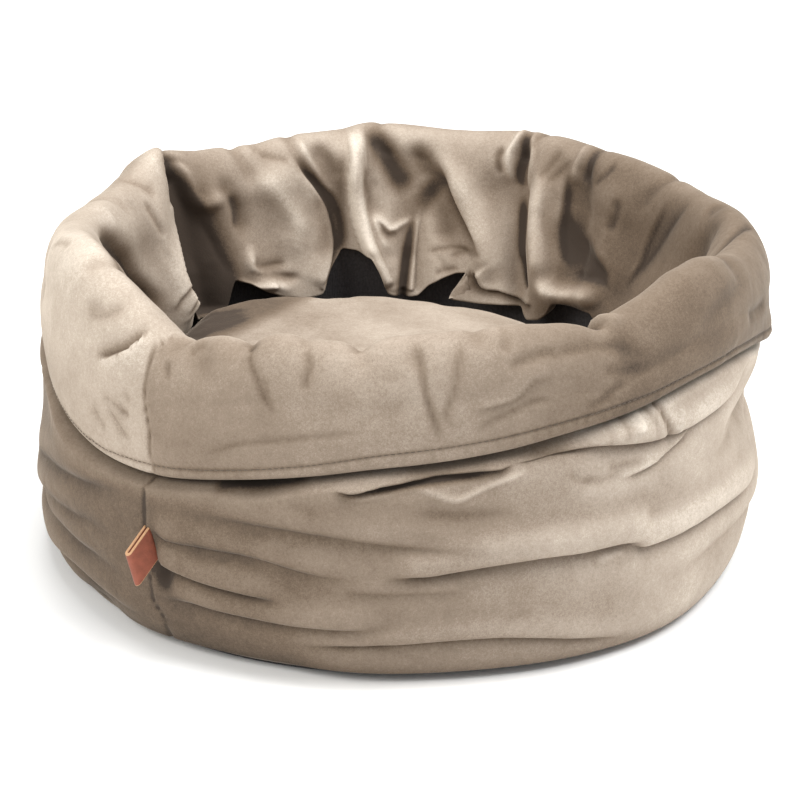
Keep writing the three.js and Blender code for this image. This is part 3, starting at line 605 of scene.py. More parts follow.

# What the wall's cloth does under the hem: the pocket, the band over it and the pleats in the band, with
# painted shade in the crack under the hem and in the pocket.
WALL_BAND = [
    Fold("crease", 2.4, 1.5, ((242, 116), (246, 119), (250, 122), (254, 125.5), (258.5, 129.5)),
         start=0.15, shade=0.9),
    Fold("lip", 3, 5, ((261, 126), (264, 127), (268, 131), (272, 133.5), (276, 136), (282, 137.5),
         (287, 138.5)), 7, 3, 0.12, 0.1, 0.7),
    Fold("groove", 3, 3, ((265, 126), (270, 129.5), (274, 132.5), (279, 134), (284, 134.5)), shade=0.45),
    Fold("ridge", 1.6, 2, ((262, 125), (264, 122), (268, 124.5), (273, 128.5), (276, 124), (278.5, 120.5),
         (281, 124), (285, 129.5), (289, 134)), start=0.1, end=0.1, shade=-0.12),
    Fold("roll", 6, 3.5, ((284, 137), (288, 139), (292, 141), (297, 142.6), (300.5, 142), (306, 138),
         (310, 135.5), (314, 135), (320, 134.5), (328, 136.5), (334, 139.5), (342, 149)), 4, 4, 0.1,
         shade=0.12),
    Fold("groove", 0.5, 7, ((268, 139), (276, 141.5), (284, 144), (292, 147.5), (300, 149)), shade=0.22),
    Fold("crease", 1.6, 1.6, ((287, 147.5), (293, 144), (300, 140)), shade=0.15),
    Fold("groove", 1, 8, ((289, 149), (296, 147), (303, 147)), shade=0.12),
    Fold("groove", 0.5, 10, ((311, 152), (320, 154), (332, 156), (346, 158)), shade=0.2),
    Fold("ridge", 4.5, 2.6, ((308, 160), (307.2, 151), (306.5, 143)), start=0.05, shade=-0.05),
    Fold("crease", 2.6, 1.6, ((309.3, 159), (310, 148), (311, 138.5)), start=0.05, shade=0.28),
    Fold("groove", 3, 2, ((311.5, 156), (312.3, 146), (313.8, 136.5)), start=0.05, end=0.1, shade=0.35),
    Fold("ridge", 2.4, 2, ((316.5, 150), (315.4, 143), (314.4, 137)), shade=-0.03),
    Fold("crease", 2, 1.6, ((305.4, 157), (304.8, 150), (304.4, 143)), shade=0.28),
    Fold("crease", 1.6, 1.6, ((302.2, 154), (302, 148), (301.4, 144)), shade=0.16),
    Fold("lip", 2.5, 4, ((303.5, 116), (308, 119), (310.5, 120.5), (313, 124), (317, 128),
         (321.5, 132.5)), 3.5, 1.5, 0.3, 0.3, 0.22),
    Fold("groove", 1.4, 3, ((301, 125.5), (305, 124.5), (309.5, 124)), shade=0.06),
    Fold("groove", 1.2, 3, ((297, 124.5), (300, 119.5), (305, 120)), shade=0.05),
    Fold("groove", 1, 2.5, ((295, 130), (296.5, 123), (299.5, 118)), shade=0.05),
    Fold("ridge", 1.5, 3, ((300, 69), (302.5, 70), (306, 70)), shade=-0.06),
    Fold("groove", 4, 5, ((233.2, 68), (233.9, 54), (234, 40)), start=0.5, end=0.5, shade=0.45),
    Fold("groove", 1, 5, ((246, 118), (252, 115), (262, 113))),
    Fold("groove", 1.2, 4, ((272, 113), (280, 110), (288, 109)), shade=0.05),
    Fold("groove", 1.4, 5, ((327, 98), (331, 101.5), (338, 99))),
    Fold("ridge", 0.3, 13, ((294, 110), (303, 114), (314, 118)), shade=-0.09),
]
WALL_FOLDS = WALL_ROLLS + WALL_BAND

# The cushion's section: share of its radius, height.
CUSHION_SECTION = [
    (0, 121), (0.3, 120.5), (0.55, 119.5), (0.74, 118), (0.86, 114.5), (0.94, 106), (0.985, 89), (1, 65),
    (0.985, 30), (0.93, 12), (0.85, 3.3), (0.4, 3.3), (0.02, 3.3),
]

# Creases across the cushion's top, as paths of places on it.
CUSHION_FOLDS = [
    Fold("crease", 3, 3, ((-148, 22), (-143, 40), (-131, 63), (-116, 78), (-96, 90)), shade=0.35),
    Fold("crease", 2.6, 2.6, ((-137, 22), (-130, 34), (-121, 45), (-110, 56), (-97, 73)), shade=0.3),
    Fold("groove", 2, 6, ((-141, 24), (-134, 42), (-124, 56), (-112, 68), (-96, 82)), shade=0.12),
]

# Where painted shade darkens the cushion's left end, beside the lining: a place on that line, its direction.
CUSHION_SHADE_AT = (-107, 42)
CUSHION_SHADE_TURN = 147


# Shape functions.

def bump(distance, spread):
    return np.exp(-((distance / spread) ** 2))


def mix(a, b, t):
    return a + (b - a) * t


def ramp(value, start, end):
    t = np.clip((value - start) / (end - start), 0, 1)
    return t * t * (3 - 2 * t)


def held_under(value, limit, soft=1.5):
    """Value that bends off softly before it passes a limit."""
    return limit - soft * np.logaddexp(0, (limit - value) / soft)


def held_over(value, limit, soft=1.5):
    """Value that bends off softly before it falls below a limit."""
    return limit + soft * np.logaddexp(0, (value - limit) / soft)


def turn_from(reference, angle):
    """Signed angle from one direction to another, between -180 and 180."""
    return (angle - reference + 180) % 360 - 180


def aside_from(reference, angle, radius):
    """Distance along the round from a direction."""
    return np.radians(turn_from(reference, angle)) * radius


def through_three(start, mid, end, t):
    bow = mid - (start + end) / 2
    return mix(start, end, t) + bow * 4 * t * (1 - t)


def around_straight(table, angle):
    """Closed curve through (angle, value) rows, without overshoot."""
    ats, values = np.array(table, float).T
    return np.interp(np.asarray(angle, float) % 360, ats, values, period=360)


def around_soft(table, angle, reach):
    """The same curve with its corners rounded over a few degrees."""
    return sum(around_straight(table, angle + step * reach) for step in (-1, -0.5, 0, 0.5, 1)) / 5


def row_sum(table, angle, column):
    return sum(getattr(row, column) * bump(turn_from(row.at, angle), row.spread) for row in table)


def lump(angle):
    return sum(row.size * np.sin(np.radians(row.waves * angle + row.turn)) for row in LUMPS)


def rim_height(angle):
    """Height of the source's rim, which the hidden faces keep to."""
    return RIM_HEIGHT + row_sum(RIM_SHAPE, angle, "rise")


def rim_crest(angle):
    return around_soft(RIM_LINE, angle, 1)


def hem_height(angle):
    return around_soft(HEM_LINE, angle, 3)


def hem_band(angle):
    return around_soft(HEM_BAND, angle, 3)


def lining_edge(angle):
    return around_soft(LINING_EDGE, angle, 0.4)


def seam_angle(z):
    heights, turns = np.array(SEAM_LINE, float).T
    return np.interp(z, heights, turns)


def plan_out(angle, z):
    """How far the rim's shape pushes the cloth out at a height."""
    lean = TOP_LEAN * np.cos(np.radians(angle))
    swing = row_sum(RIM_SHAPE, angle, "out") + LUMP_SHARE * lump(angle) + lean
    return swing * ramp(z, TRAY_BAND_HEIGHT, PLAN_FULL_HEIGHT)


def crest_out(angle, z):
    return plan_out(angle, z) + row_sum(RIM_DRAWN_IN, angle, "out") * ramp(z, *DRAWN_IN_HEIGHTS)


def broad_depth(angle, z):
    """Outward depth of the lining's broad upright folds."""
    total = 0
    for fold in LINING_BROAD:
        t = (fold.start - z) / (fold.start - fold.end)
        path = through_three(fold.top, fold.mid, fold.low, np.clip(t, 0, 1))
        ends = ramp(t, *BROAD_FADE_IN) * (1 - ramp(t, *BROAD_FADE_OUT))
        total = total + fold.depth * ends * bump(aside_from(path, angle, LINING_RADIUS), fold.width)
    return total


def dent_depth(dents, angle, z):
    total = 0
    for dent in dents:
        aside = aside_from(dent.at, angle, CUFF_RADIUS)
        total = total + dent.deep * bump(aside, dent.wide) * bump(z - dent.z, dent.high)
    return total


# Forms of a fold. Each gives how far it raises the cloth, drags it to its path's right, and how much shade
# it paints on it.

def groove(fold, d, wide):
    valley = bump(d, wide)
    return -fold.deep * valley, 0, fold.shade * valley


def crease(fold, d, wide):
    valley = np.exp(-np.sqrt(d * d + CREASE_ROUNDING) / wide)
    return -fold.deep * valley, 0, fold.shade * valley


def ridge(fold, d, wide):
    top = bump(d, wide)
    return fold.deep * top, 0, fold.shade * top


def tube(fold, d, wide):
    round_top = np.sqrt(np.clip(1 - (d / wide) ** 2, 0, 1))
    skirt = TUBE_SKIRT * bump(d, TUBE_SKIRT_WIDTH * wide)
    return fold.deep * ((1 - TUBE_SKIRT) * round_top + skirt), 0, fold.shade * round_top


def lip(fold, d, wide):
    step = 0.5 + 0.5 * np.tanh(d / LIP_STEP)
    near = np.exp(-np.abs(d) / wide)
    high = fold.deep * np.exp(-np.abs(d) / (LIP_FALL * wide))
    dark = fold.shade * (1 - step) * bump(d, wide)
    return step * high - (1 - step) * fold.back * near, fold.lap * step * near, dark


def roll(fold, d, wide):
    edge = bump(d, ROLL_EDGE * wide)
    under = np.exp(-np.sqrt(d * d + ROLL_ROUNDING) / (ROLL_UNDER * wide))
    raised = fold.back * bump(d - ROLL_TOP_AT * wide, ROLL_TOP * wide)
    drag = fold.lap * bump(d - ROLL_LAP_AT * wide, ROLL_LAP * wide)
    return raised - fold.deep * np.where(d < 0, under, edge), drag, fold.shade * edge


FORMS = {"groove": groove, "crease": crease, "ridge": ridge, "tube": tube, "lip": lip, "roll": roll}


# Folds along paths.

def smooth_path(points, pieces=5):
    """Points of a smooth curve through the given ones."""
    p = np.array(points, float)
    p = np.vstack([2 * p[0] - p[1], p, 2 * p[-1] - p[-2]])
    t = np.linspace(0, 1, pieces, endpoint=False)[:, None]
    runs = []
    for a, b, c, d in zip(p[:-3], p[1:-2], p[2:-1], p[3:]):
        bend = (2 * a - 5 * b + 4 * c - d) * t**2 + (3 * b - a - 3 * c + d) * t**3
        runs.append(0.5 * (2 * b + (c - a) * t + bend))
    return np.vstack(runs + [p[-2:-1]])


def unrolled(fold, radius):
    """The fold's path in millimetres on the unrolled surface, measured from its first angle."""
    first = fold.path[0][0]
    return smooth_path([(math.radians(turn_from(first, at)) * radius, z) for at, z in fold.path])


def beside(path, x, y):
    """Signed distance to a path, share of its length, and the direction to its left."""
    starts, steps = path[:-1], np.diff(path, axis=0)
    lengths = np.maximum(np.hypot(*steps.T), 1e-6)
    before = np.concatenate([[0], np.cumsum(lengths)])
    best = np.full(x.shape, 1e9)
    found = [np.zeros(x.shape) for _ in range(4)]
    for (ax, ay), (dx, dy), length, done in zip(starts, steps, lengths, before):
        ux, uy = dx / length, dy / length
        held = np.clip((x - ax) * ux + (y - ay) * uy, 0, length)
        off_x, off_y = x - ax - held * ux, y - ay - held * uy
        away = np.hypot(off_x, off_y)
        side = np.where(ux * off_y - uy * off_x >= 0, 1.0, -1.0)
        nearer = away < best
        best = np.where(nearer, away, best)
        for field, value in zip(found, (side * away, (done + held) / before[-1], -uy, ux)):
            np.copyto(field, value, where=nearer)
    return found


def shaped(fold, d, t):
    """Raise, drag and shade of a fold at a distance from its path and a share of its length."""
    raised, drag, dark = FORMS[fold.form](fold, d, fold.wide * mix(1, fold.grow, t))
    ends = ramp(t, 0, fold.start) * (1 - ramp(t, 1 - fold.end, 1))
    return ends * raised, ends * drag, ends * dark


def within(values, line, reach):
    return (values > line.min() - reach) & (values < line.max() + reach)


def fold_field(folds, angle, height, radius):
    """Raise of the cloth, its shift along the round and upwards, and its shade, from all the folds."""
    angle, height = np.broadcast_arrays(angle, height)
    field = np.zeros((4, *angle.shape))
    for fold in folds:
        path = unrolled(fold, radius)
        middle = path[:, 0].mean()
        x = aside_from(fold.path[0][0] + math.degrees(middle / radius), angle, radius) + middle
        reach = 5 * fold.wide * max(1, fold.grow) + 4
        near = within(x, path[:, 0], reach) & within(height, path[:, 1], reach)
        if not near.any():
            continue
        d, t, left_x, left_y = beside(path, x[near], height[near])
        inside = (t > 0) & (t < 1)
        lift, drag, dark = (part * inside for part in shaped(fold, d, t))
        field[:, near] += lift, -drag * left_x, -drag * left_y, dark
    return field


def scattered(strewn):
    """Small soft creases strewn over a band of cloth."""
    rng = np.random.default_rng(strewn.seed)
    folds = []
    for _ in range(strewn.count):
        at, z = rng.uniform(0, 360), rng.uniform(*strewn.heights)
        lean = math.radians(strewn.slant + rng.normal(0, STREWN_LEAN))
        reach = rng.uniform(0.5, 1) * strewn.length / 2
        aside = math.degrees(reach * math.cos(lean) / STREWN_RADIUS)
        rise = reach * math.sin(lean)
        bow = rng.normal(0, STREWN_BOW) * reach
        path = ((at - aside, z - rise), (at, z + bow), (at + aside, z + rise))
        form = "crease" if rng.random() < STREWN_CREASE_SHARE else "groove"
        deep = rng.uniform(0.35, 1) * strewn.deep
        wide = rng.uniform(0.6, 1.2) * strewn.wide
        folds.append(Fold(form, deep, wide, path, start=0.4, end=0.4))
    return folds


def swells(swell, angle, height):
    """Slow uneven swelling of the stuffing, from a few seeded waves."""
    rng = np.random.default_rng(swell.seed)
    most_turns = max(2, int(2 * math.pi * swell.radius / swell.length))
    total = 0
    for _ in range(SWELL_WAVES):
        turns = rng.integers(1, most_turns)
        rise = rng.normal(0, 2 * math.pi / swell.length / 1.5)
        phase = rng.uniform(0, 2 * math.pi)
        total = total + np.sin(np.radians(turns * angle) + rise * height + phase)
    return swell.size * total / math.sqrt(SWELL_WAVES / 2)


# Meshes.

def link(name, data):
    made = bpy.data.objects.new(name, data)
    bpy.context.scene.collection.objects.link(made)
    return made


def new_object(name, vertices, faces, smooth=True):
    mesh = bpy.data.meshes.new(name)
    mesh.from_pydata((np.asarray(vertices, float) * MM).tolist(), [], faces)
    mesh.polygons.foreach_set("use_smooth", [smooth] * len(mesh.polygons))
    mesh.update()
    return link(name, mesh)


def row_windows(rows, down):
    """Each row's neighbours, one list of rows for each step, held at the ends."""
    return [np.clip(np.arange(rows) + step, 0, rows - 1) for step in range(-down, down + 1)]


def blurred(field, across, down):
    """Field over (angle, row), averaged over a window; the angles close on themselves."""
    field = sum(np.roll(field, step, 0) for step in range(-across, across + 1)) / (2 * across + 1)
    return sum(field[:, rows] for rows in row_windows(field.shape[1], down)) / (2 * down + 1)


def relief_shading(field, across, down):
    """How far a place stands over its surroundings, from -1 in a valley to 1 on a ridge; the velvet paints
    it as shade in valleys and highlight on ridges.
    """
    around = blurred(blurred(field, across, down), across, down)
    return np.tanh((field - around) / RELIEF_SIZE)


def store(obj, name, values):
    """Keeps one number a vertex for the materials to read."""
    layer = obj.data.attributes.new(name, "FLOAT", "POINT")
    layer.data.foreach_set("value", np.asarray(values, np.float32).ravel())


def store_looks(obj, nap_and_light, height, back):
    """Keeps the pile's tone with its painted light, sheen and shade, the relief that paints shade and
    highlight, and plain ones for the hidden back.
    """
    hidden = np.zeros(back.shape[:2])
    store(obj, "nap_and_light", np.concatenate([nap_and_light, hidden + HIDDEN_NAP], 1))
    store(obj, "relief_shading", np.concatenate([height, hidden], 1))


def polar(angle, radius, z):
    turn = np.radians(angle)
    return np.stack(np.broadcast_arrays(radius * np.cos(turn), radius * np.sin(turn), z), -1)


def rings(angle, rows):
    """Points round the bed from (radius, height) rows."""
    return np.concatenate([polar(angle, radius, z) for radius, z in rows], 1)


def ring_faces(steps, rows, closed):
    """Quads of a swept section. Vertices run section by section."""
    here = np.arange(steps)[:, None] * rows
    there = (here + rows) % (steps * rows)
    row = np.arange(rows if closed else rows - 1)[None, :]
    following = (row + 1) % rows
    quads = np.stack([here + row, there + row, there + following, here + following], -1)
    return quads.reshape(-1, 4).tolist()


def tube_faces(count, sides, first=0):
    """Quads between a line of rings, and a cap at each end."""
    faces = []
    for start in range(first, first + (count - 1) * sides, sides):
        for k in range(sides):
            a, b = start + k, start + (k + 1) % sides
            faces.append((a, b, b + sides, a + sides))
    last = first + (count - 1) * sides
    return faces + [tuple(range(first, first + sides))[::-1], tuple(range(last, last + sides))]


def swept(name, points, closed=True):
    return new_object(name, points.reshape(-1, 3), ring_faces(*points.shape[:2], closed))


def even_angles(steps):
    return (np.arange(steps) * 360 / steps)[:, None]


def angles():
    """Directions round the bed, closer together where the folds are in view."""
    fine = np.arange(0, 360, 0.25)
    passed = np.concatenate([[0], np.cumsum(around_straight(STEP_DENSITY, fine))])
    even = np.arange(ROUND_STEPS) / ROUND_STEPS * passed[-1]
    return np.interp(even, passed, np.append(fine, 360))[:, None]


# The outer wall.

def seam_groove(angle, z):
    """Depth of the upright seam, and how dark its line is."""
    aside = np.abs(aside_from(seam_angle(z), angle, CUFF_RADIUS))
    pull = 0.5 + 0.5 * np.sin(z * 0.75 + 1.3 * np.sin(z * 0.21))
    pulled = SEAM_PULL * pull * np.exp(-aside / SEAM_PULL_WIDTH)
    return SEAM_DEPTH * np.exp(-aside / SEAM_WIDTH) + pulled, SEAM_SHADE * bump(aside, SEAM_SHADE_WIDTH)


def nap_and_light_beside_seam(table, angle, z):
    """Lie of the pile with its painted light and sheen, which changes at the upright seam."""
    shift = (seam_angle(z) - SEAM_AT) * bump(turn_from(SEAM_AT, angle), SEAM_NAP_REACH)
    return around_straight(table, angle - shift)


def wall_radius(angle, z):
    below = np.clip(1 - z / WALL_BELLY_HEIGHT, 0, 1)
    foot = (WALL_BELLY_RADIUS - WALL_FOOT_RADIUS) * below**WALL_FOOT_POWER
    face = WALL_BELLY_RADIUS - foot + lump(angle) - dent_depth(WALL_DENTS, angle, z)
    under = WALL_UNDER_CUFF_RADIUS + plan_out(angle, z)
    shoulder = hem_height(angle) - WALL_TURN_BELOW_HEM - row_sum(TUCKS, angle, "lower")
    drawn_in = ramp(z, shoulder - WALL_TURN_START, shoulder + WALL_TURN_END)
    return mix(face + WALL_PLAN_SHARE * plan_out(angle, z), under, drawn_in)


def wall_face(angle, z):
    """Angle, radius, height and shade of the wall's face, folds included."""
    folds = WALL_FOLDS + scattered(WALL_STREWN)
    raised, along, up, shade = fold_field(folds, angle, z, WALL_BELLY_RADIUS)
    raised = raised + swells(WALL_SWELL, angle, z)
    groove_depth, line = seam_groove(angle, z)
    entry = hem_height(angle) + WALL_ENTRY_ABOVE_HEM
    calm = 1 - ramp(z, *(entry - below for below in WALL_CALM_BELOW_ENTRY))
    foot = ramp(z, *WALL_CALM_FOOT)
    radius = wall_radius(angle, z) + raised * calm * mix(WALL_FOOT_RELIEF, 1, foot) - groove_depth * calm
    turned = angle + np.degrees(along / WALL_BELLY_RADIUS) * calm * foot
    return turned, radius, z + up * calm * foot, shade * calm + line


def wall_back(angle, floor):
    """Hidden faces of the wall, from under the cuff over its top and down to its foot."""
    top = rim_height(angle) - FOLD_ROOF_BELOW_RIM - WALL_TOP_CLEARANCE
    inner, outer = WALL_TOP_INNER_RADIUS, WALL_UNDER_CUFF_RADIUS
    over = [(outer, 9, 9), (outer - 3, 2, 0), ((inner + outer) / 2, 0, 0), (inner + 2, 2, 0), (inner, 9, 9)]
    rows = [(radius + plan_out(angle, top - lean), top - below) for radius, below, lean in over]
    rows += [(WALL_INNER_RADIUS, TRAY_BAND_HEIGHT), (WALL_INNER_RADIUS, floor)]
    return rings(angle, rows + [(TRAY_FLOOR_RADIUS - 4, floor), (WALL_FOOT_RADIUS - 2, floor + 0.6)])


def build_wall():
    angle = angles()
    floor = TRAY_THICKNESS + FABRIC_GAP
    entry = hem_height(angle) + WALL_ENTRY_ABOVE_HEM
    z = mix(floor + 3, entry, np.linspace(0, 1, WALL_FACE_ROWS)[None, :])
    turned, radius, height, shade = wall_face(angle, z)
    back = wall_back(angle, floor)
    wall = swept("wall_cloth", np.concatenate([polar(turned, radius, height), back], 1))
    # The pile's tone carries painted light and sheen round the bed, and painted shade beside the folds.
    store_looks(wall, nap_and_light_beside_seam(WALL_NAP_AND_LIGHT, angle, z) - shade, relief_shading(radius, 7, 9), back)
    return wall


# The lining, rolled rim and cuff: one cloth.

def puckers():
    """Short uneven gathers along the hem's stitch line."""
    rng = np.random.default_rng(PUCKER_SEED)
    folds = []
    for at in np.arange(0, 360, PUCKER_PITCH):
        at = at + rng.uniform(-0.9, 0.9)
        low = float(hem_height(at)) + 1
        high = low + float(hem_band(at)) + rng.uniform(-1, 4)
        tilt = rng.uniform(-0.5, 0.5)
        path = ((at, low), (at + tilt / 2, (low + high) / 2), (at + tilt, high))
        deep = rng.uniform(0.1, 0.7)
        folds.append(Fold("groove", deep, PUCKER_WIDTH, path, start=0.3, end=0.5, shade=0.03))
    return folds


def lining_raise(angle, z):
    return fold_field(LINING_FOLDS + scattered(LINING_STREWN), angle, z, LINING_FOLD_RADIUS)


def cuff_raise(angle, z):
    folds = CUFF_FOLDS + scattered(CUFF_STREWN) + puckers()
    raised, along, up, shade = fold_field(folds, angle, z, CUFF_RADIUS)
    raised = raised + swells(CUFF_SWELL, angle, z)
    above, band = z - hem_height(angle), hem_band(angle)
    stitched = bump(above - band, STITCHED_WIDTH)
    raised = raised - STITCHED_DEPTH * stitched + HEM_SWELL * bump(above - 0.5 * band, 0.35 * band)
    groove_depth, line = seam_groove(angle, z)
    return np.array([raised - groove_depth, along, up, shade + line + STITCHED_SHADE * stitched])


def roof_spring(angle):
    """Height at which the round roof of the room inside the fold begins."""
    return rim_height(angle) - FOLD_ROOF_BELOW_RIM - (FOLD_OUTER_RADIUS - FOLD_INNER_RADIUS) / 2


def lining_limit(angle, z):
    """Radius within which the lining's shown face stays, clear of the cloth behind it."""
    spring = roof_spring(angle)
    inner = FOLD_INNER_RADIUS + plan_out(angle, spring)
    share = np.clip((z - TRAY_BAND_HEIGHT) / (spring - TRAY_BAND_HEIGHT), 0, 1)
    eased = ROOF_EASE * np.clip(z - spring, 0, ROOF_EASE_HEIGHT)
    over_roof = eased + ROOF_FREE * np.maximum(z - spring - ROOF_EASE_HEIGHT, 0)
    clearance = mix(*LINING_CLEARANCE, ramp(z, *LINING_CLEARANCE_HEIGHTS))
    return mix(FOLD_LOW_RADIUS, inner, share) + over_roof - clearance


def cushion_reach(z):
    """Radius of the cushion at a height, with room for the lining beside it."""
    share, heights = np.array(CUSHION_SECTION[CUSHION_WIDEST_ROW::-1], float).T
    return CUSHION_RADIUS * np.interp(z, heights, share, right=0) + CUSHION_CLEARANCE


def lining_face(angle, shoulder):
    """The lining from its lower edge up to where the roll begins."""
    low = lining_edge(angle)
    z = mix(low, shoulder, np.linspace(0, 1, LINING_ROWS, endpoint=False)[None, :])
    flare = mix(LINING_RADIUS, LINING_TOP_RADIUS, ramp(z, LINING_FLARE_FROM, shoulder))
    raised, along, up, shade = lining_raise(angle, z)
    broad = broad_depth(angle, z)
    radius = flare + crest_out(angle, z) + broad - raised
    radius = held_over(held_under(radius, lining_limit(angle, z)), cushion_reach(z))
    slid = around_straight(EDGE_SHIFT, angle) * (1 - ramp(z - low, 0, EDGE_SHIFT_REACH))
    turned = angle + np.degrees(along / LINING_RADIUS) + slid
    return polar(turned, radius, z + up), raised - broad, shade


def roll_face(angle, shoulder):
    """The rolled rim, from the lining over the crest to the cuff."""
    share = np.linspace(0, 1, ROLL_ROWS)[None, :]
    swing = math.pi * (1 - share)
    face_r, face_z = np.cos(swing), np.sin(swing)
    z = shoulder + ROLL_DROP * face_z
    inner, outer = 1 - ramp(share, *LINING_FADE), ramp(share, *CUFF_FADE)
    inside, outside = lining_raise(angle, z), cuff_raise(angle, z)
    across = (share - 0.5) * math.pi * (ROLL_HALF_WIDTH + ROLL_DROP) / 2
    top = fold_field(RIM_FOLDS, angle, across, RIM_RADIUS)
    lift, along, _, shade = inner * inside + outer * outside + top
    hollow = ramp(1 - share, 0.5, 1) * broad_depth(angle, z)
    dented = ramp(share, 0.3, 0.7) * dent_depth(CUFF_DENTS, angle, z)
    first, last = 1 - ramp(share, 0, 0.3), ramp(share, 0.7, 1)
    turn_radius = RIM_RADIUS + (LINING_RADIUS - RIM_RADIUS) * first + (CUFF_RADIUS - RIM_RADIUS) * last
    turned = angle + np.degrees(along / turn_radius)
    flat = RIM_RADIUS + ROLL_HALF_WIDTH * face_r + crest_out(angle, z)
    limit = lining_limit(angle, z) + 60 * ramp(share, 0.25, 0.4)
    radius = held_under(flat + hollow - dented + lift * face_r, limit)
    points = polar(turned, radius, z + lift * face_z + first * inside[2] + last * outside[2])
    return points, lift - hollow - dented, shade


def cuff_face(angle, shoulder):
    """The cuff from the roll down to its hem."""
    hem = hem_height(angle)
    below = np.linspace(0, 1, CUFF_ROWS + 1)[None, 1:]
    z = mix(shoulder, hem, below)
    bulge = (CUFF_RADIUS - HEM_RADIUS) * (1 - (2 * below - 1) ** 2)
    raised, along, up, shade = cuff_raise(angle, z)
    dented = dent_depth(CUFF_DENTS, angle, z)
    edge = np.clip(1 - (z - hem) / HEM_ROUNDING_HEIGHT, 0, 1)
    rounded = HEM_ROUNDING * (1 - np.sqrt(1 - edge**2))
    radius = HEM_RADIUS + bulge + crest_out(angle, z) - dented + raised - rounded
    return polar(angle + np.degrees(along / CUFF_RADIUS), radius, z + up), raised - dented, shade


def widest(field, across, down):
    """Largest value of a field over (angle, row) within a window."""
    for step in range(1, across + 1):
        field = np.maximum(field, np.maximum(np.roll(field, step, 0), np.roll(field, -step, 0)))
    return np.max([field[:, rows] for rows in row_windows(field.shape[1], down)], 0)


def low_back(angle, inside):
    """Hidden rows of the lining's lower part, from the band's top to the lower edge."""
    low = lining_edge(angle)
    radius = np.hypot(inside[..., 0], inside[..., 1])
    reach = widest(radius, 5, 7) + CLOTH_EDGE_THICKNESS
    middle = np.minimum(reach[:, 20:21], FOLD_LOW_RADIUS - 0.4)
    lower = np.minimum(reach[:, 3:4], FOLD_LOW_RADIUS - 0.8)
    edge = radius[:, :1] + 0.5 * CLOTH_EDGE_THICKNESS
    return [(middle, mix(low, TRAY_BAND_HEIGHT, 0.55)), (lower, low + 1.5), (edge, low - 0.7)]


def hem_back(angle, outside):
    """Hidden rows of the cuff, from its hem up to the roof of the room inside the fold."""
    hem = hem_height(angle)
    hem_edge = np.hypot(outside[:, -1:, 0], outside[:, -1:, 1])
    inner_edge = hem_edge - HEM_EDGE_THICKNESS
    inner_hem = HEM_RADIUS - 7.5 + plan_out(angle, hem + 8)
    side = mix(hem, roof_spring(angle), 0.45)
    return [
        (hem_edge - 0.5 * HEM_EDGE_THICKNESS, hem - 0.8),
        (inner_edge, hem + 1.2),
        (np.minimum(inner_edge, inner_hem), hem + 8),
        (FOLD_OUTER_RADIUS + 0.3 + plan_out(angle, side), side),
    ]


def roof_back(angle):
    """Hidden rows over the round roof of the room inside the fold."""
    half = (FOLD_OUTER_RADIUS - FOLD_INNER_RADIUS) / 2
    middle = (FOLD_OUTER_RADIUS + FOLD_INNER_RADIUS) / 2
    rows = []
    for turn in np.linspace(0, math.pi, 4):
        z = roof_spring(angle) + half * math.sin(turn)
        rows.append((middle + half * math.cos(turn) + plan_out(angle, z), z))
    return rows


def fold_nap_and_light(angle, z):
    """Lie of the pile with its painted light and sheen, which passes over the rim from the lining's to the
    cuff's, darker low on the cuff at the left.
    """
    fade = [LINING_ROWS + share * ROLL_ROWS for share in LINING_FADE]
    out = ramp(np.arange(z.shape[1]), *fade)[None, :]
    left = bump(turn_from(LOWER_LEFT_AT, angle), LOWER_LEFT_SPREAD)
    cuff = nap_and_light_beside_seam(CUFF_NAP_AND_LIGHT, angle, z) - LOWER_LEFT_DARKER * ramp(-z, *LOWER_LEFT_HEIGHTS) * left
    return mix(around_straight(LINING_NAP_AND_LIGHT, angle), cuff, out)


def build_fold():
    angle = angles()
    shoulder = rim_crest(angle) - ROLL_DROP
    faces = [build(angle, shoulder) for build in (lining_face, roll_face, cuff_face)]
    inside, outside = faces[0][0], faces[2][0]
    face, heights, shade = (np.concatenate(fields, 1) for fields in zip(*faces))
    rows = hem_back(angle, outside) + roof_back(angle) + [(FOLD_LOW_RADIUS, TRAY_BAND_HEIGHT)]
    back = rings(angle, rows + low_back(angle, inside))
    cloth = swept("lining_and_cuff_cloth", np.concatenate([face, back], 1))
    # The pile's tone carries painted light and sheen round the bed, and painted shade beside the folds.
    store_looks(cloth, fold_nap_and_light(angle, face[..., 2]) - shade, relief_shading(heights, 5, 6), back)
    return cloth, outside


# The cushion.

def cushion_profile(rows):
    """Even points along the section of the pad before its filling swells it."""
    smooth = smooth_path(np.array(CUSHION_SECTION, float) * [CUSHION_RADIUS - CUSHION_SWELL, 1], 12)
    along = np.concatenate([[0], np.cumsum(np.hypot(*np.diff(smooth, axis=0).T))])
    even = np.linspace(0, along[-1], rows)
    radius, z = np.interp(even, along, smooth[:, 0]), np.interp(even, along, smooth[:, 1])
    return radius, z - CUSHION_SWELL * ramp(z, *CUSHION_TOP_HEIGHTS)


def coordinates(mesh):
    places = np.empty(3 * len(mesh.vertices), np.float32)
    mesh.vertices.foreach_get("co", places)
    return places.reshape(-1, 3).astype(float) / MM


def place(mesh, places):
    mesh.vertices.foreach_set("co", (places * MM).astype(np.float32).ravel())
    mesh.update()


def settle_modifiers(obj):
    """Makes what the modifiers show the object's own mesh."""
    shown = obj.evaluated_get(bpy.context.evaluated_depsgraph_get())
    mesh = bpy.data.meshes.new_from_object(shown)
    obj.modifiers.clear()
    obj.data = mesh


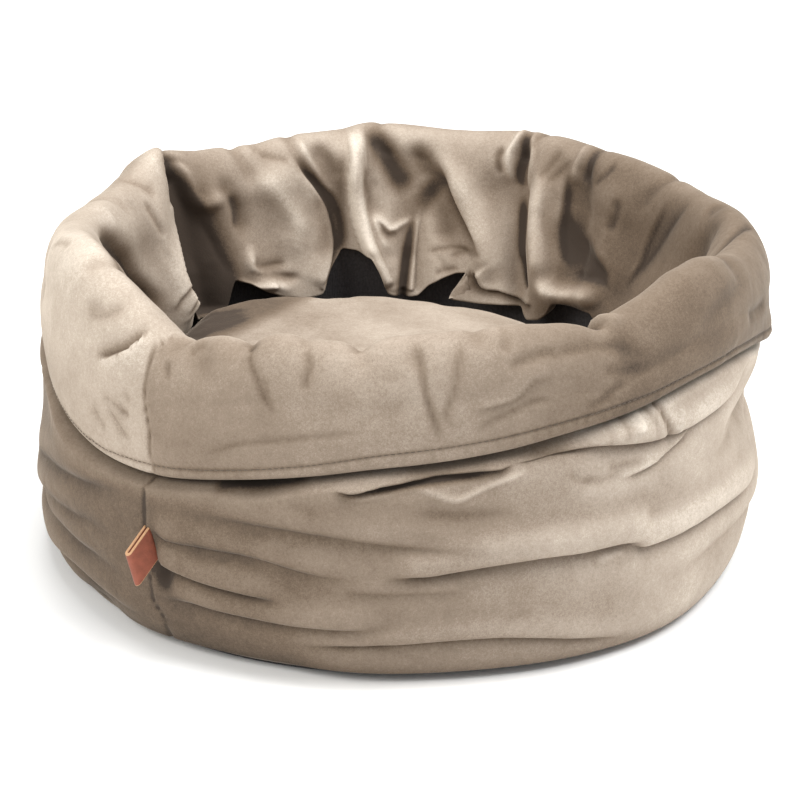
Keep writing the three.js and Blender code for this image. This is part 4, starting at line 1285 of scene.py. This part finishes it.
def blow_up(obj, pressure, most):
    """Swells a closed cover by its filling in a short cloth run. No point moves further than the most."""
    start = coordinates(obj.data)
    cloth = obj.modifiers.new("cloth", "CLOTH")
    cloth.settings.use_pressure = True
    cloth.settings.uniform_pressure_force = pressure
    cloth.settings.effector_weights.gravity = 0
    for step in range(1, CLOTH_FRAMES + 1):
        bpy.context.scene.frame_set(step)
    settle_modifiers(obj)
    bpy.context.scene.frame_set(1)
    moved = coordinates(obj.data) - start
    length = np.linalg.norm(moved, axis=1, keepdims=True)
    held = most * np.tanh(length / most) / np.maximum(length, 1e-6)
    place(obj.data, start + moved * held)


def cushion_creases(x, y):
    """Raise of the cushion's top, and painted shade in its creases."""
    raised, shade = np.zeros_like(x), np.zeros_like(x)
    for fold in CUSHION_FOLDS:
        d, t, _, _ = beside(smooth_path(fold.path), x, y)
        lift, _, dark = shaped(fold, d, t)
        raised += lift
        shade += dark
    raised += 0.7 * np.sin(x / 23 + 1) * np.sin(y / 31) + 0.5 * np.sin(x / 11 + y / 17)
    return raised, shade


def cushion_lift(x, y):
    """How far the cushion rises at its left end and sags at its right."""
    left = CUSHION_LIFT * ramp(-x, *CUSHION_LIFT_LEFT) * ramp(y, *CUSHION_LIFT_BACK)
    rim = ramp(-x, *CUSHION_EDGE_LIFT_LEFT) * ramp(np.hypot(x, y), *CUSHION_EDGE_LIFT_OUT)
    return left + CUSHION_EDGE_LIFT * rim - CUSHION_SAG * ramp(x, *CUSHION_SAG_SPAN)


def swollen_cushion():
    """The pad with its cover swollen by the filling."""
    angle = even_angles(CUSHION_STEPS)
    radius, z = cushion_profile(CUSHION_ROWS)
    edge = 1 + 1.2 * np.sin(np.radians(3 * angle + 40)) / CUSHION_RADIUS
    points = polar(angle, np.maximum(radius[None, :], 0.4) * edge, z[None, :])
    cushion = swept("cushion_pad", points, closed=False)
    remesh = cushion.modifiers.new("remesh", "REMESH")
    remesh.mode = "VOXEL"
    remesh.voxel_size = CUSHION_VOXEL * MM
    remesh.use_smooth_shade = True
    settle_modifiers(cushion)
    blow_up(cushion, CUSHION_PRESSURE, CUSHION_SWELL + 1)
    cushion.modifiers.new("finer", "SUBSURF").levels = 1
    settle_modifiers(cushion)
    return cushion


def build_cushion():
    cushion = swollen_cushion()
    x, y, z = coordinates(cushion.data).T
    raised, shade = cushion_creases(x, y)
    moved = (raised + cushion_lift(x, y)) * ramp(z, *CUSHION_TOP_HEIGHTS)
    free = held_over(z, CUSHION_FLOOR, 0.5) + moved
    beside_well = ramp(np.maximum(np.abs(x), np.abs(y)), WELL_HALF_WIDTH, WELL_HALF_WIDTH + WELL_EASE)
    z = mix(held_under(free, WELL_FLOOR, 1), free, beside_well)
    out = np.hypot(x, y)
    drawn_in = held_under(out, CUSHION_RADIUS, 1) / np.maximum(out, 1)
    x, y = x * drawn_in, y * drawn_in
    place(cushion.data, np.stack([x, y, z], 1))
    # Painted shade on the cushion's left end beside the lining, and in its creases.
    turn = math.radians(CUSHION_SHADE_TURN)
    beyond = (x - CUSHION_SHADE_AT[0]) * math.cos(turn) + (y - CUSHION_SHADE_AT[1]) * math.sin(turn)
    store(cushion, "nap_and_light", CUSHION_NAP - CUSHION_PAINTED_SHADE * ramp(beyond, -12, 8) - shade)
    store(cushion, "relief_shading", np.tanh(raised / RELIEF_SIZE))
    return cushion


# The dark base cloth.

def build_sole():
    low, middle, edge = 0.02, 0.3, TRAY_FLOOR_RADIUS
    rows = [(radius, low) for radius in (middle, *np.linspace(12, edge - 1, 20))]
    rows += [(edge, 1.2), (edge - 0.4, TRAY_THICKNESS - 0.2)]
    rows += [(radius, TRAY_THICKNESS) for radius in np.linspace(edge - 3, middle, 16)]
    return swept("base_sole_cloth", rings(even_angles(SOLE_STEPS), rows), closed=False)


def build_band():
    angle = even_angles(BAND_STEPS)
    z = np.linspace(TRAY_THICKNESS + 0.2, TRAY_BAND_HEIGHT, BAND_ROWS)[None, :]
    wave = 0.5 * np.sin(np.radians(9 * angle)) * np.sin(z / 17)
    front = polar(angle, TRAY_BAND_RADIUS - TRAY_BAND_THICKNESS - 0.2 + np.minimum(wave, 0.2), z)
    behind = polar(angle, TRAY_BAND_RADIUS - 0.1, z[:, ::-1])
    return swept("base_band_cloth", np.concatenate([front, behind], 1))


# The leather tag.

def tag_root():
    """Radius at which the tag leaves the wall, clear of the wall's folds along its whole width."""
    share = np.linspace(0, 1, 5)[:, None]
    angle = TAG_AT + np.degrees(share * TAG_ROOT_LEAN / WALL_BELLY_RADIUS)
    return float(wall_face(angle, TAG_TOP_HEIGHT - share * TAG_WIDTH)[1].max())


def tag_line():
    """Middle line of the folded strip, seen from above: out along one layer, round and back."""
    offset = (TAG_LAYER_GAP + TAG_THICKNESS) / 2
    bend = TAG_LENGTH - offset - TAG_THICKNESS / 2
    turn = np.linspace(-math.pi / 2, math.pi / 2, 13)
    out = [(x, -offset) for x in np.linspace(-TAG_ROOT_SUNK, bend, 16)[:-1]]
    round_ = [(bend + offset * math.cos(a), offset * math.sin(a)) for a in turn]
    return np.array(out + round_ + [(x, offset) for x in np.linspace(bend, -TAG_ROOT_SUNK, 16)[1:]])


def rounded_corners(half, tall, corner=4):
    """Corners of the strip's cross-section: side, height."""
    points = []
    for x, y, start in ((half, tall, 0), (-half, tall, 90), (-half, -tall, 180), (half, -tall, 270)):
        for turn in np.radians(start + 90 * np.arange(corner) / (corner - 1)):
            points.append((x + TAG_ROUNDING * math.cos(turn), y + TAG_ROUNDING * math.sin(turn)))
    return np.array(points)


def tag_section():
    """Cross-section of the strip, with points along its two long sides."""
    half, tall = TAG_THICKNESS / 2, TAG_WIDTH / 2 - TAG_ROUNDING
    corners = rounded_corners(half - TAG_ROUNDING, tall)
    heights = np.linspace(0.985, -0.985, TAG_SIDE_POINTS) * tall
    left = np.stack([np.full(TAG_SIDE_POINTS, -half), heights], 1)
    return np.concatenate([corners[:8], left, corners[8:], -left])


def build_tag():
    line = tag_line()
    tangent = np.gradient(line, axis=0)
    tangent /= np.linalg.norm(tangent, axis=1)[:, None]
    side, height = tag_section().T
    outward = line[:, :1] + side * tangent[:, 1:]
    down = TAG_WIDTH / 2 - height
    aside = line[:, 1:] - side * tangent[:, :1] + TAG_ROOT_LEAN * down / TAG_WIDTH
    z = TAG_TOP_HEIGHT - down - TAG_DROOP / TAG_LENGTH * outward
    outward = outward + tag_root()
    turn = math.radians(TAG_AT)
    x = outward * math.cos(turn) - aside * math.sin(turn)
    y = outward * math.sin(turn) + aside * math.cos(turn)
    points = np.stack([x, y, z], -1)
    tag = new_object("leather_tag_strip", points.reshape(-1, 3), tube_faces(*z.shape))
    store(tag, "cut_edge", np.broadcast_to(np.abs(height) > TAG_WIDTH / 2 - 0.5, z.shape))
    return tag


# Stitches.

def stitch_beads(name, places, directions, outwards):
    """One mesh of short rounded stitches that lie along a line."""
    vertices, faces = [], []
    turns = 2 * math.pi * np.arange(STITCH_SIDES) / STITCH_SIDES
    for place_, direction, outward in zip(places, directions, outwards):
        side = np.cross(direction, outward)
        faces += tube_faces(len(STITCH_SECTION), STITCH_SIDES, len(vertices))
        for along, thick in STITCH_SECTION:
            middle = place_ + along * STITCH_LENGTH * direction
            for turn in turns:
                off = math.cos(turn) * side + math.sin(turn) * outward
                vertices.append(middle + STITCH_RADIUS * thick * off)
    return new_object(name, vertices, faces)


def along_curve(points, pitch):
    """Even places along a curve, with its direction at each."""
    length = np.concatenate([[0], np.cumsum(np.linalg.norm(np.diff(points, axis=0), axis=1))])
    even = np.arange(pitch / 2, length[-1], pitch)

    def at(distance):
        return np.stack([np.interp(distance, length, points[:, i]) for i in range(3)], 1)

    direction = at(even + 0.5) - at(even - 0.5)
    return at(even), direction / np.linalg.norm(direction, axis=1)[:, None]


def build_hem_stitches(outside):
    """The row of stitches above the hem, laid on the cuff's own surface."""
    angle = angles()[:, 0]
    line = []
    for column, z in zip(outside[:, ::-1], hem_height(angle) + hem_band(angle)):
        line.append([np.interp(z, column[:, 2], column[:, i]) for i in range(3)])
    places, direction = along_curve(np.array(line + line[:1]), STITCH_PITCH)
    outward = places * [1, 1, 0]
    outward /= np.linalg.norm(outward, axis=1)[:, None]
    return stitch_beads("hem_stitches", places + 0.1 * outward, direction, outward)


# Materials.

def linear(rgb):
    """Scene colour from a colour in 0 to 255 as seen on a screen."""
    shown = np.array(rgb) / 255
    scene = np.where(shown <= 0.04045, shown / 12.92, ((shown + 0.055) / 1.055) ** 2.4)
    return (*scene.tolist(), 1)


def two_tones(dark, light):
    return [(0, linear(dark)), (1, linear(light))]


class Look:
    """A material. Inputs of its nodes take a number, a colour, a direction or another node's output."""

    def __init__(self, name):
        self.material = bpy.data.materials.new(name)
        self.material.use_nodes = True
        self.nodes = self.material.node_tree.nodes
        self.coords = self.nodes.new("ShaderNodeTexCoord").outputs["Object"]

    def feed(self, node, inputs):
        for name, value in inputs.items():
            if isinstance(value, bpy.types.NodeSocket):
                self.material.node_tree.links.new(value, node.inputs[name])
            else:
                node.inputs[name].default_value = value

    def node(self, kind, inputs):
        made = self.nodes.new(kind)
        self.feed(made, inputs)
        return made

    def noise(self, scale, detail, roughness=0.5):
        inputs = {"Vector": self.coords, "Scale": scale, "Detail": detail, "Roughness": roughness}
        return self.node("ShaderNodeTexNoise", inputs).outputs["Fac"]

    def sums(self, operation, first, second):
        made = self.node("ShaderNodeMath", {0: first, 1: second})
        made.operation = operation
        return made.outputs[0]

    def attribute(self, name):
        made = self.nodes.new("ShaderNodeAttribute")
        made.attribute_name = name
        return made.outputs["Fac"]

    def bumps(self, height, strength, distance, under=None):
        inputs = {"Height": height, "Strength": strength, "Distance": distance}
        if under:
            inputs["Normal"] = under
        return self.node("ShaderNodeBump", inputs).outputs["Normal"]

    def tones(self, value, rows):
        """Colour that runs through (share, colour) rows."""
        made = self.node("ShaderNodeValToRGB", {"Fac": value})
        elements = made.color_ramp.elements
        for share, colour in rows[1:-1]:
            elements.new(share).color = colour
        elements[0].color, elements[-1].color = rows[0][1], rows[-1][1]
        return made.outputs["Color"]

    def finished(self, inputs):
        self.feed(self.nodes["Principled BSDF"], inputs)
        return self.material


def velvet(name):
    """Short-pile velvet: its tone follows the lie of the pile with painted light and sheen, painted shade in
    valleys and highlight on ridges, and painted light on faces turned up and to the left, with soft patches
    and a fine grain.
    """
    look = Look(name)
    # Painted light: faces turned up, to the left and to the front are painted lighter.
    normal = look.nodes.new("ShaderNodeNewGeometry").outputs["Normal"]
    painted_light = look.node("ShaderNodeVectorMath", {0: normal, 1: PAINTED_LIGHT_DIRECTION})
    painted_light.operation = "DOT_PRODUCT"
    parts = [
        # Painted shade in valleys and painted highlight on ridges, from the relief.
        look.sums("MULTIPLY", look.attribute("relief_shading"), RELIEF_SHADING_GAIN),
        look.sums("MULTIPLY", painted_light.outputs["Value"], PAINTED_LIGHT_GAIN),
    ]
    for row in PILE_NOISE:
        centred = look.sums("SUBTRACT", look.noise(row.scale, row.detail, row.roughness), 0.5)
        parts.append(look.sums("MULTIPLY", centred, row.gain))
    total = look.attribute("nap_and_light")
    for part in parts:
        total = look.sums("ADD", total, part)
    pile = look.bumps(look.noise(1100, 3), 0.25, 0.0006)
    return look.finished({
        "Base Color": look.tones(total, PILE_TONES),
        "Roughness": 0.9,
        "Specular IOR Level": 0.12,
        "Sheen Weight": 0.3,
        "Sheen Roughness": 0.35,
        "Sheen Tint": linear((240, 226, 208)),
        "Normal": look.bumps(look.noise(70, 3), 0.3, 0.002, pile),
    })


def charcoal_cloth():
    """Dark matt base cloth with a fine weave."""
    look = Look("charcoal_cloth")
    colour = look.tones(look.noise(600, 4), two_tones((50, 48, 49), (87, 84, 85)))
    weave = look.node("ShaderNodeTexWave", {"Vector": look.coords, "Scale": 260, "Distortion": 1.5})
    raised = look.bumps(weave.outputs["Fac"], 0.3, 0.0005)
    return look.finished(
        {"Base Color": colour, "Roughness": 0.95, "Specular IOR Level": 0.15, "Normal": raised})


def leather():
    """Brown leather with a fine grain and paler cut edges."""
    look = Look("tag_leather")
    face = look.tones(look.noise(220, 5, 0.6), two_tones((102, 51, 34), (153, 83, 60)))
    cut = look.tones(look.noise(900, 3), two_tones((160, 114, 80), (196, 155, 114)))
    blend = look.nodes.new("ShaderNodeMix")
    blend.data_type = "RGBA"
    look.feed(blend, {0: look.attribute("cut_edge"), 6: face, 7: cut})
    cells = look.node("ShaderNodeTexVoronoi", {"Vector": look.coords, "Scale": 1300})
    grain = look.bumps(cells.outputs["Distance"], 0.35, 0.0004)
    return look.finished({"Base Color": blend.outputs[2], "Roughness": 0.55, "Normal": grain})


def thread():
    look = Look("thread")
    colour = look.tones(look.noise(1400, 2), two_tones((76, 65, 54), (111, 97, 83)))
    return look.finished({"Base Color": colour, "Roughness": 0.7})


def floor_paper():
    look = Look("studio_paper")
    colour = look.tones(look.noise(3, 2), FLOOR_TONES)
    return look.finished({"Base Color": colour, "Roughness": 0.9, "Specular IOR Level": 0.1})


# Studio.

def build_camera():
    data = bpy.data.cameras.new("camera")
    data.lens = CAMERA_LENS
    data.sensor_width = CAMERA_SENSOR
    camera = link("camera", data)
    rise = math.radians(CAMERA_ELEVATION)
    back = Vector((0, -math.cos(rise), math.sin(rise)))
    camera.location = CAMERA_TARGET + CAMERA_DISTANCE * back
    camera.rotation_euler = (-back).to_track_quat("-Z", "Y").to_euler()
    bpy.context.scene.camera = camera


def area_light(name, place_, size, power, colour):
    data = bpy.data.lights.new(name, "AREA")
    data.shape = "DISK"
    data.size = size
    data.energy = power
    data.color = colour
    light = link(name, data)
    light.location = place_
    light.rotation_euler = (LIGHT_TARGET - Vector(place_)).to_track_quat("-Z", "Y").to_euler()


def build_studio():
    bpy.context.scene.view_settings.view_transform = "Standard"
    world = bpy.data.worlds.new("studio")
    world.use_nodes = True
    background = world.node_tree.nodes["Background"]
    background.inputs["Color"].default_value = SKY_COLOUR
    background.inputs["Strength"].default_value = SKY_STRENGTH
    bpy.context.scene.world = world
    for light in LIGHTS:
        area_light(*light)
    corners = [(-1, -1), (1, -1), (1, 1), (-1, 1)]
    places = [(x * FLOOR_HALF_SIZE, y * FLOOR_HALF_SIZE, FLOOR_HEIGHT) for x, y in corners]
    floor = new_object("floor", places, [(0, 1, 2, 3)], smooth=False)
    floor.data.materials.append(floor_paper())


def dress(obj, look, slot, *nodes):
    obj.data.materials.append(look)
    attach(obj, "root")
    if nodes:
        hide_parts(*nodes)


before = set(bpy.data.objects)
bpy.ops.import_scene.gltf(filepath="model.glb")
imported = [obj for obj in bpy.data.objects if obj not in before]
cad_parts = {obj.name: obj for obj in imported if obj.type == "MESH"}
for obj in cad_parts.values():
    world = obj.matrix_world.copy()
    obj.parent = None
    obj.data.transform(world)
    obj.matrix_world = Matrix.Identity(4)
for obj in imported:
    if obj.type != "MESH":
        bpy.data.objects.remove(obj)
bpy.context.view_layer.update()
build_camera()
build_studio()

wall = build_wall()
cloth, cuff_rows = build_fold()
cushion = build_cushion()
sole = build_sole()
band = build_band()
tag = build_tag()
stitches = build_hem_stitches(cuff_rows)

dress(wall, velvet("wall_velvet"), "velvet_wall", "outer_wall")
dress(cloth, velvet("cuff_velvet"), "velvet_cuff", "lining_cuff")
dress(cushion, velvet("cushion_velvet"), "velvet_cushion", "cushion")
base_look = charcoal_cloth()
dress(sole, base_look, "base_cloth", "base_tray")
dress(band, base_look, "base_cloth", "base_tray")
dress(tag, leather(), "tag_leather", "leather_tag")
dress(stitches, thread(), "velvet_cuff")
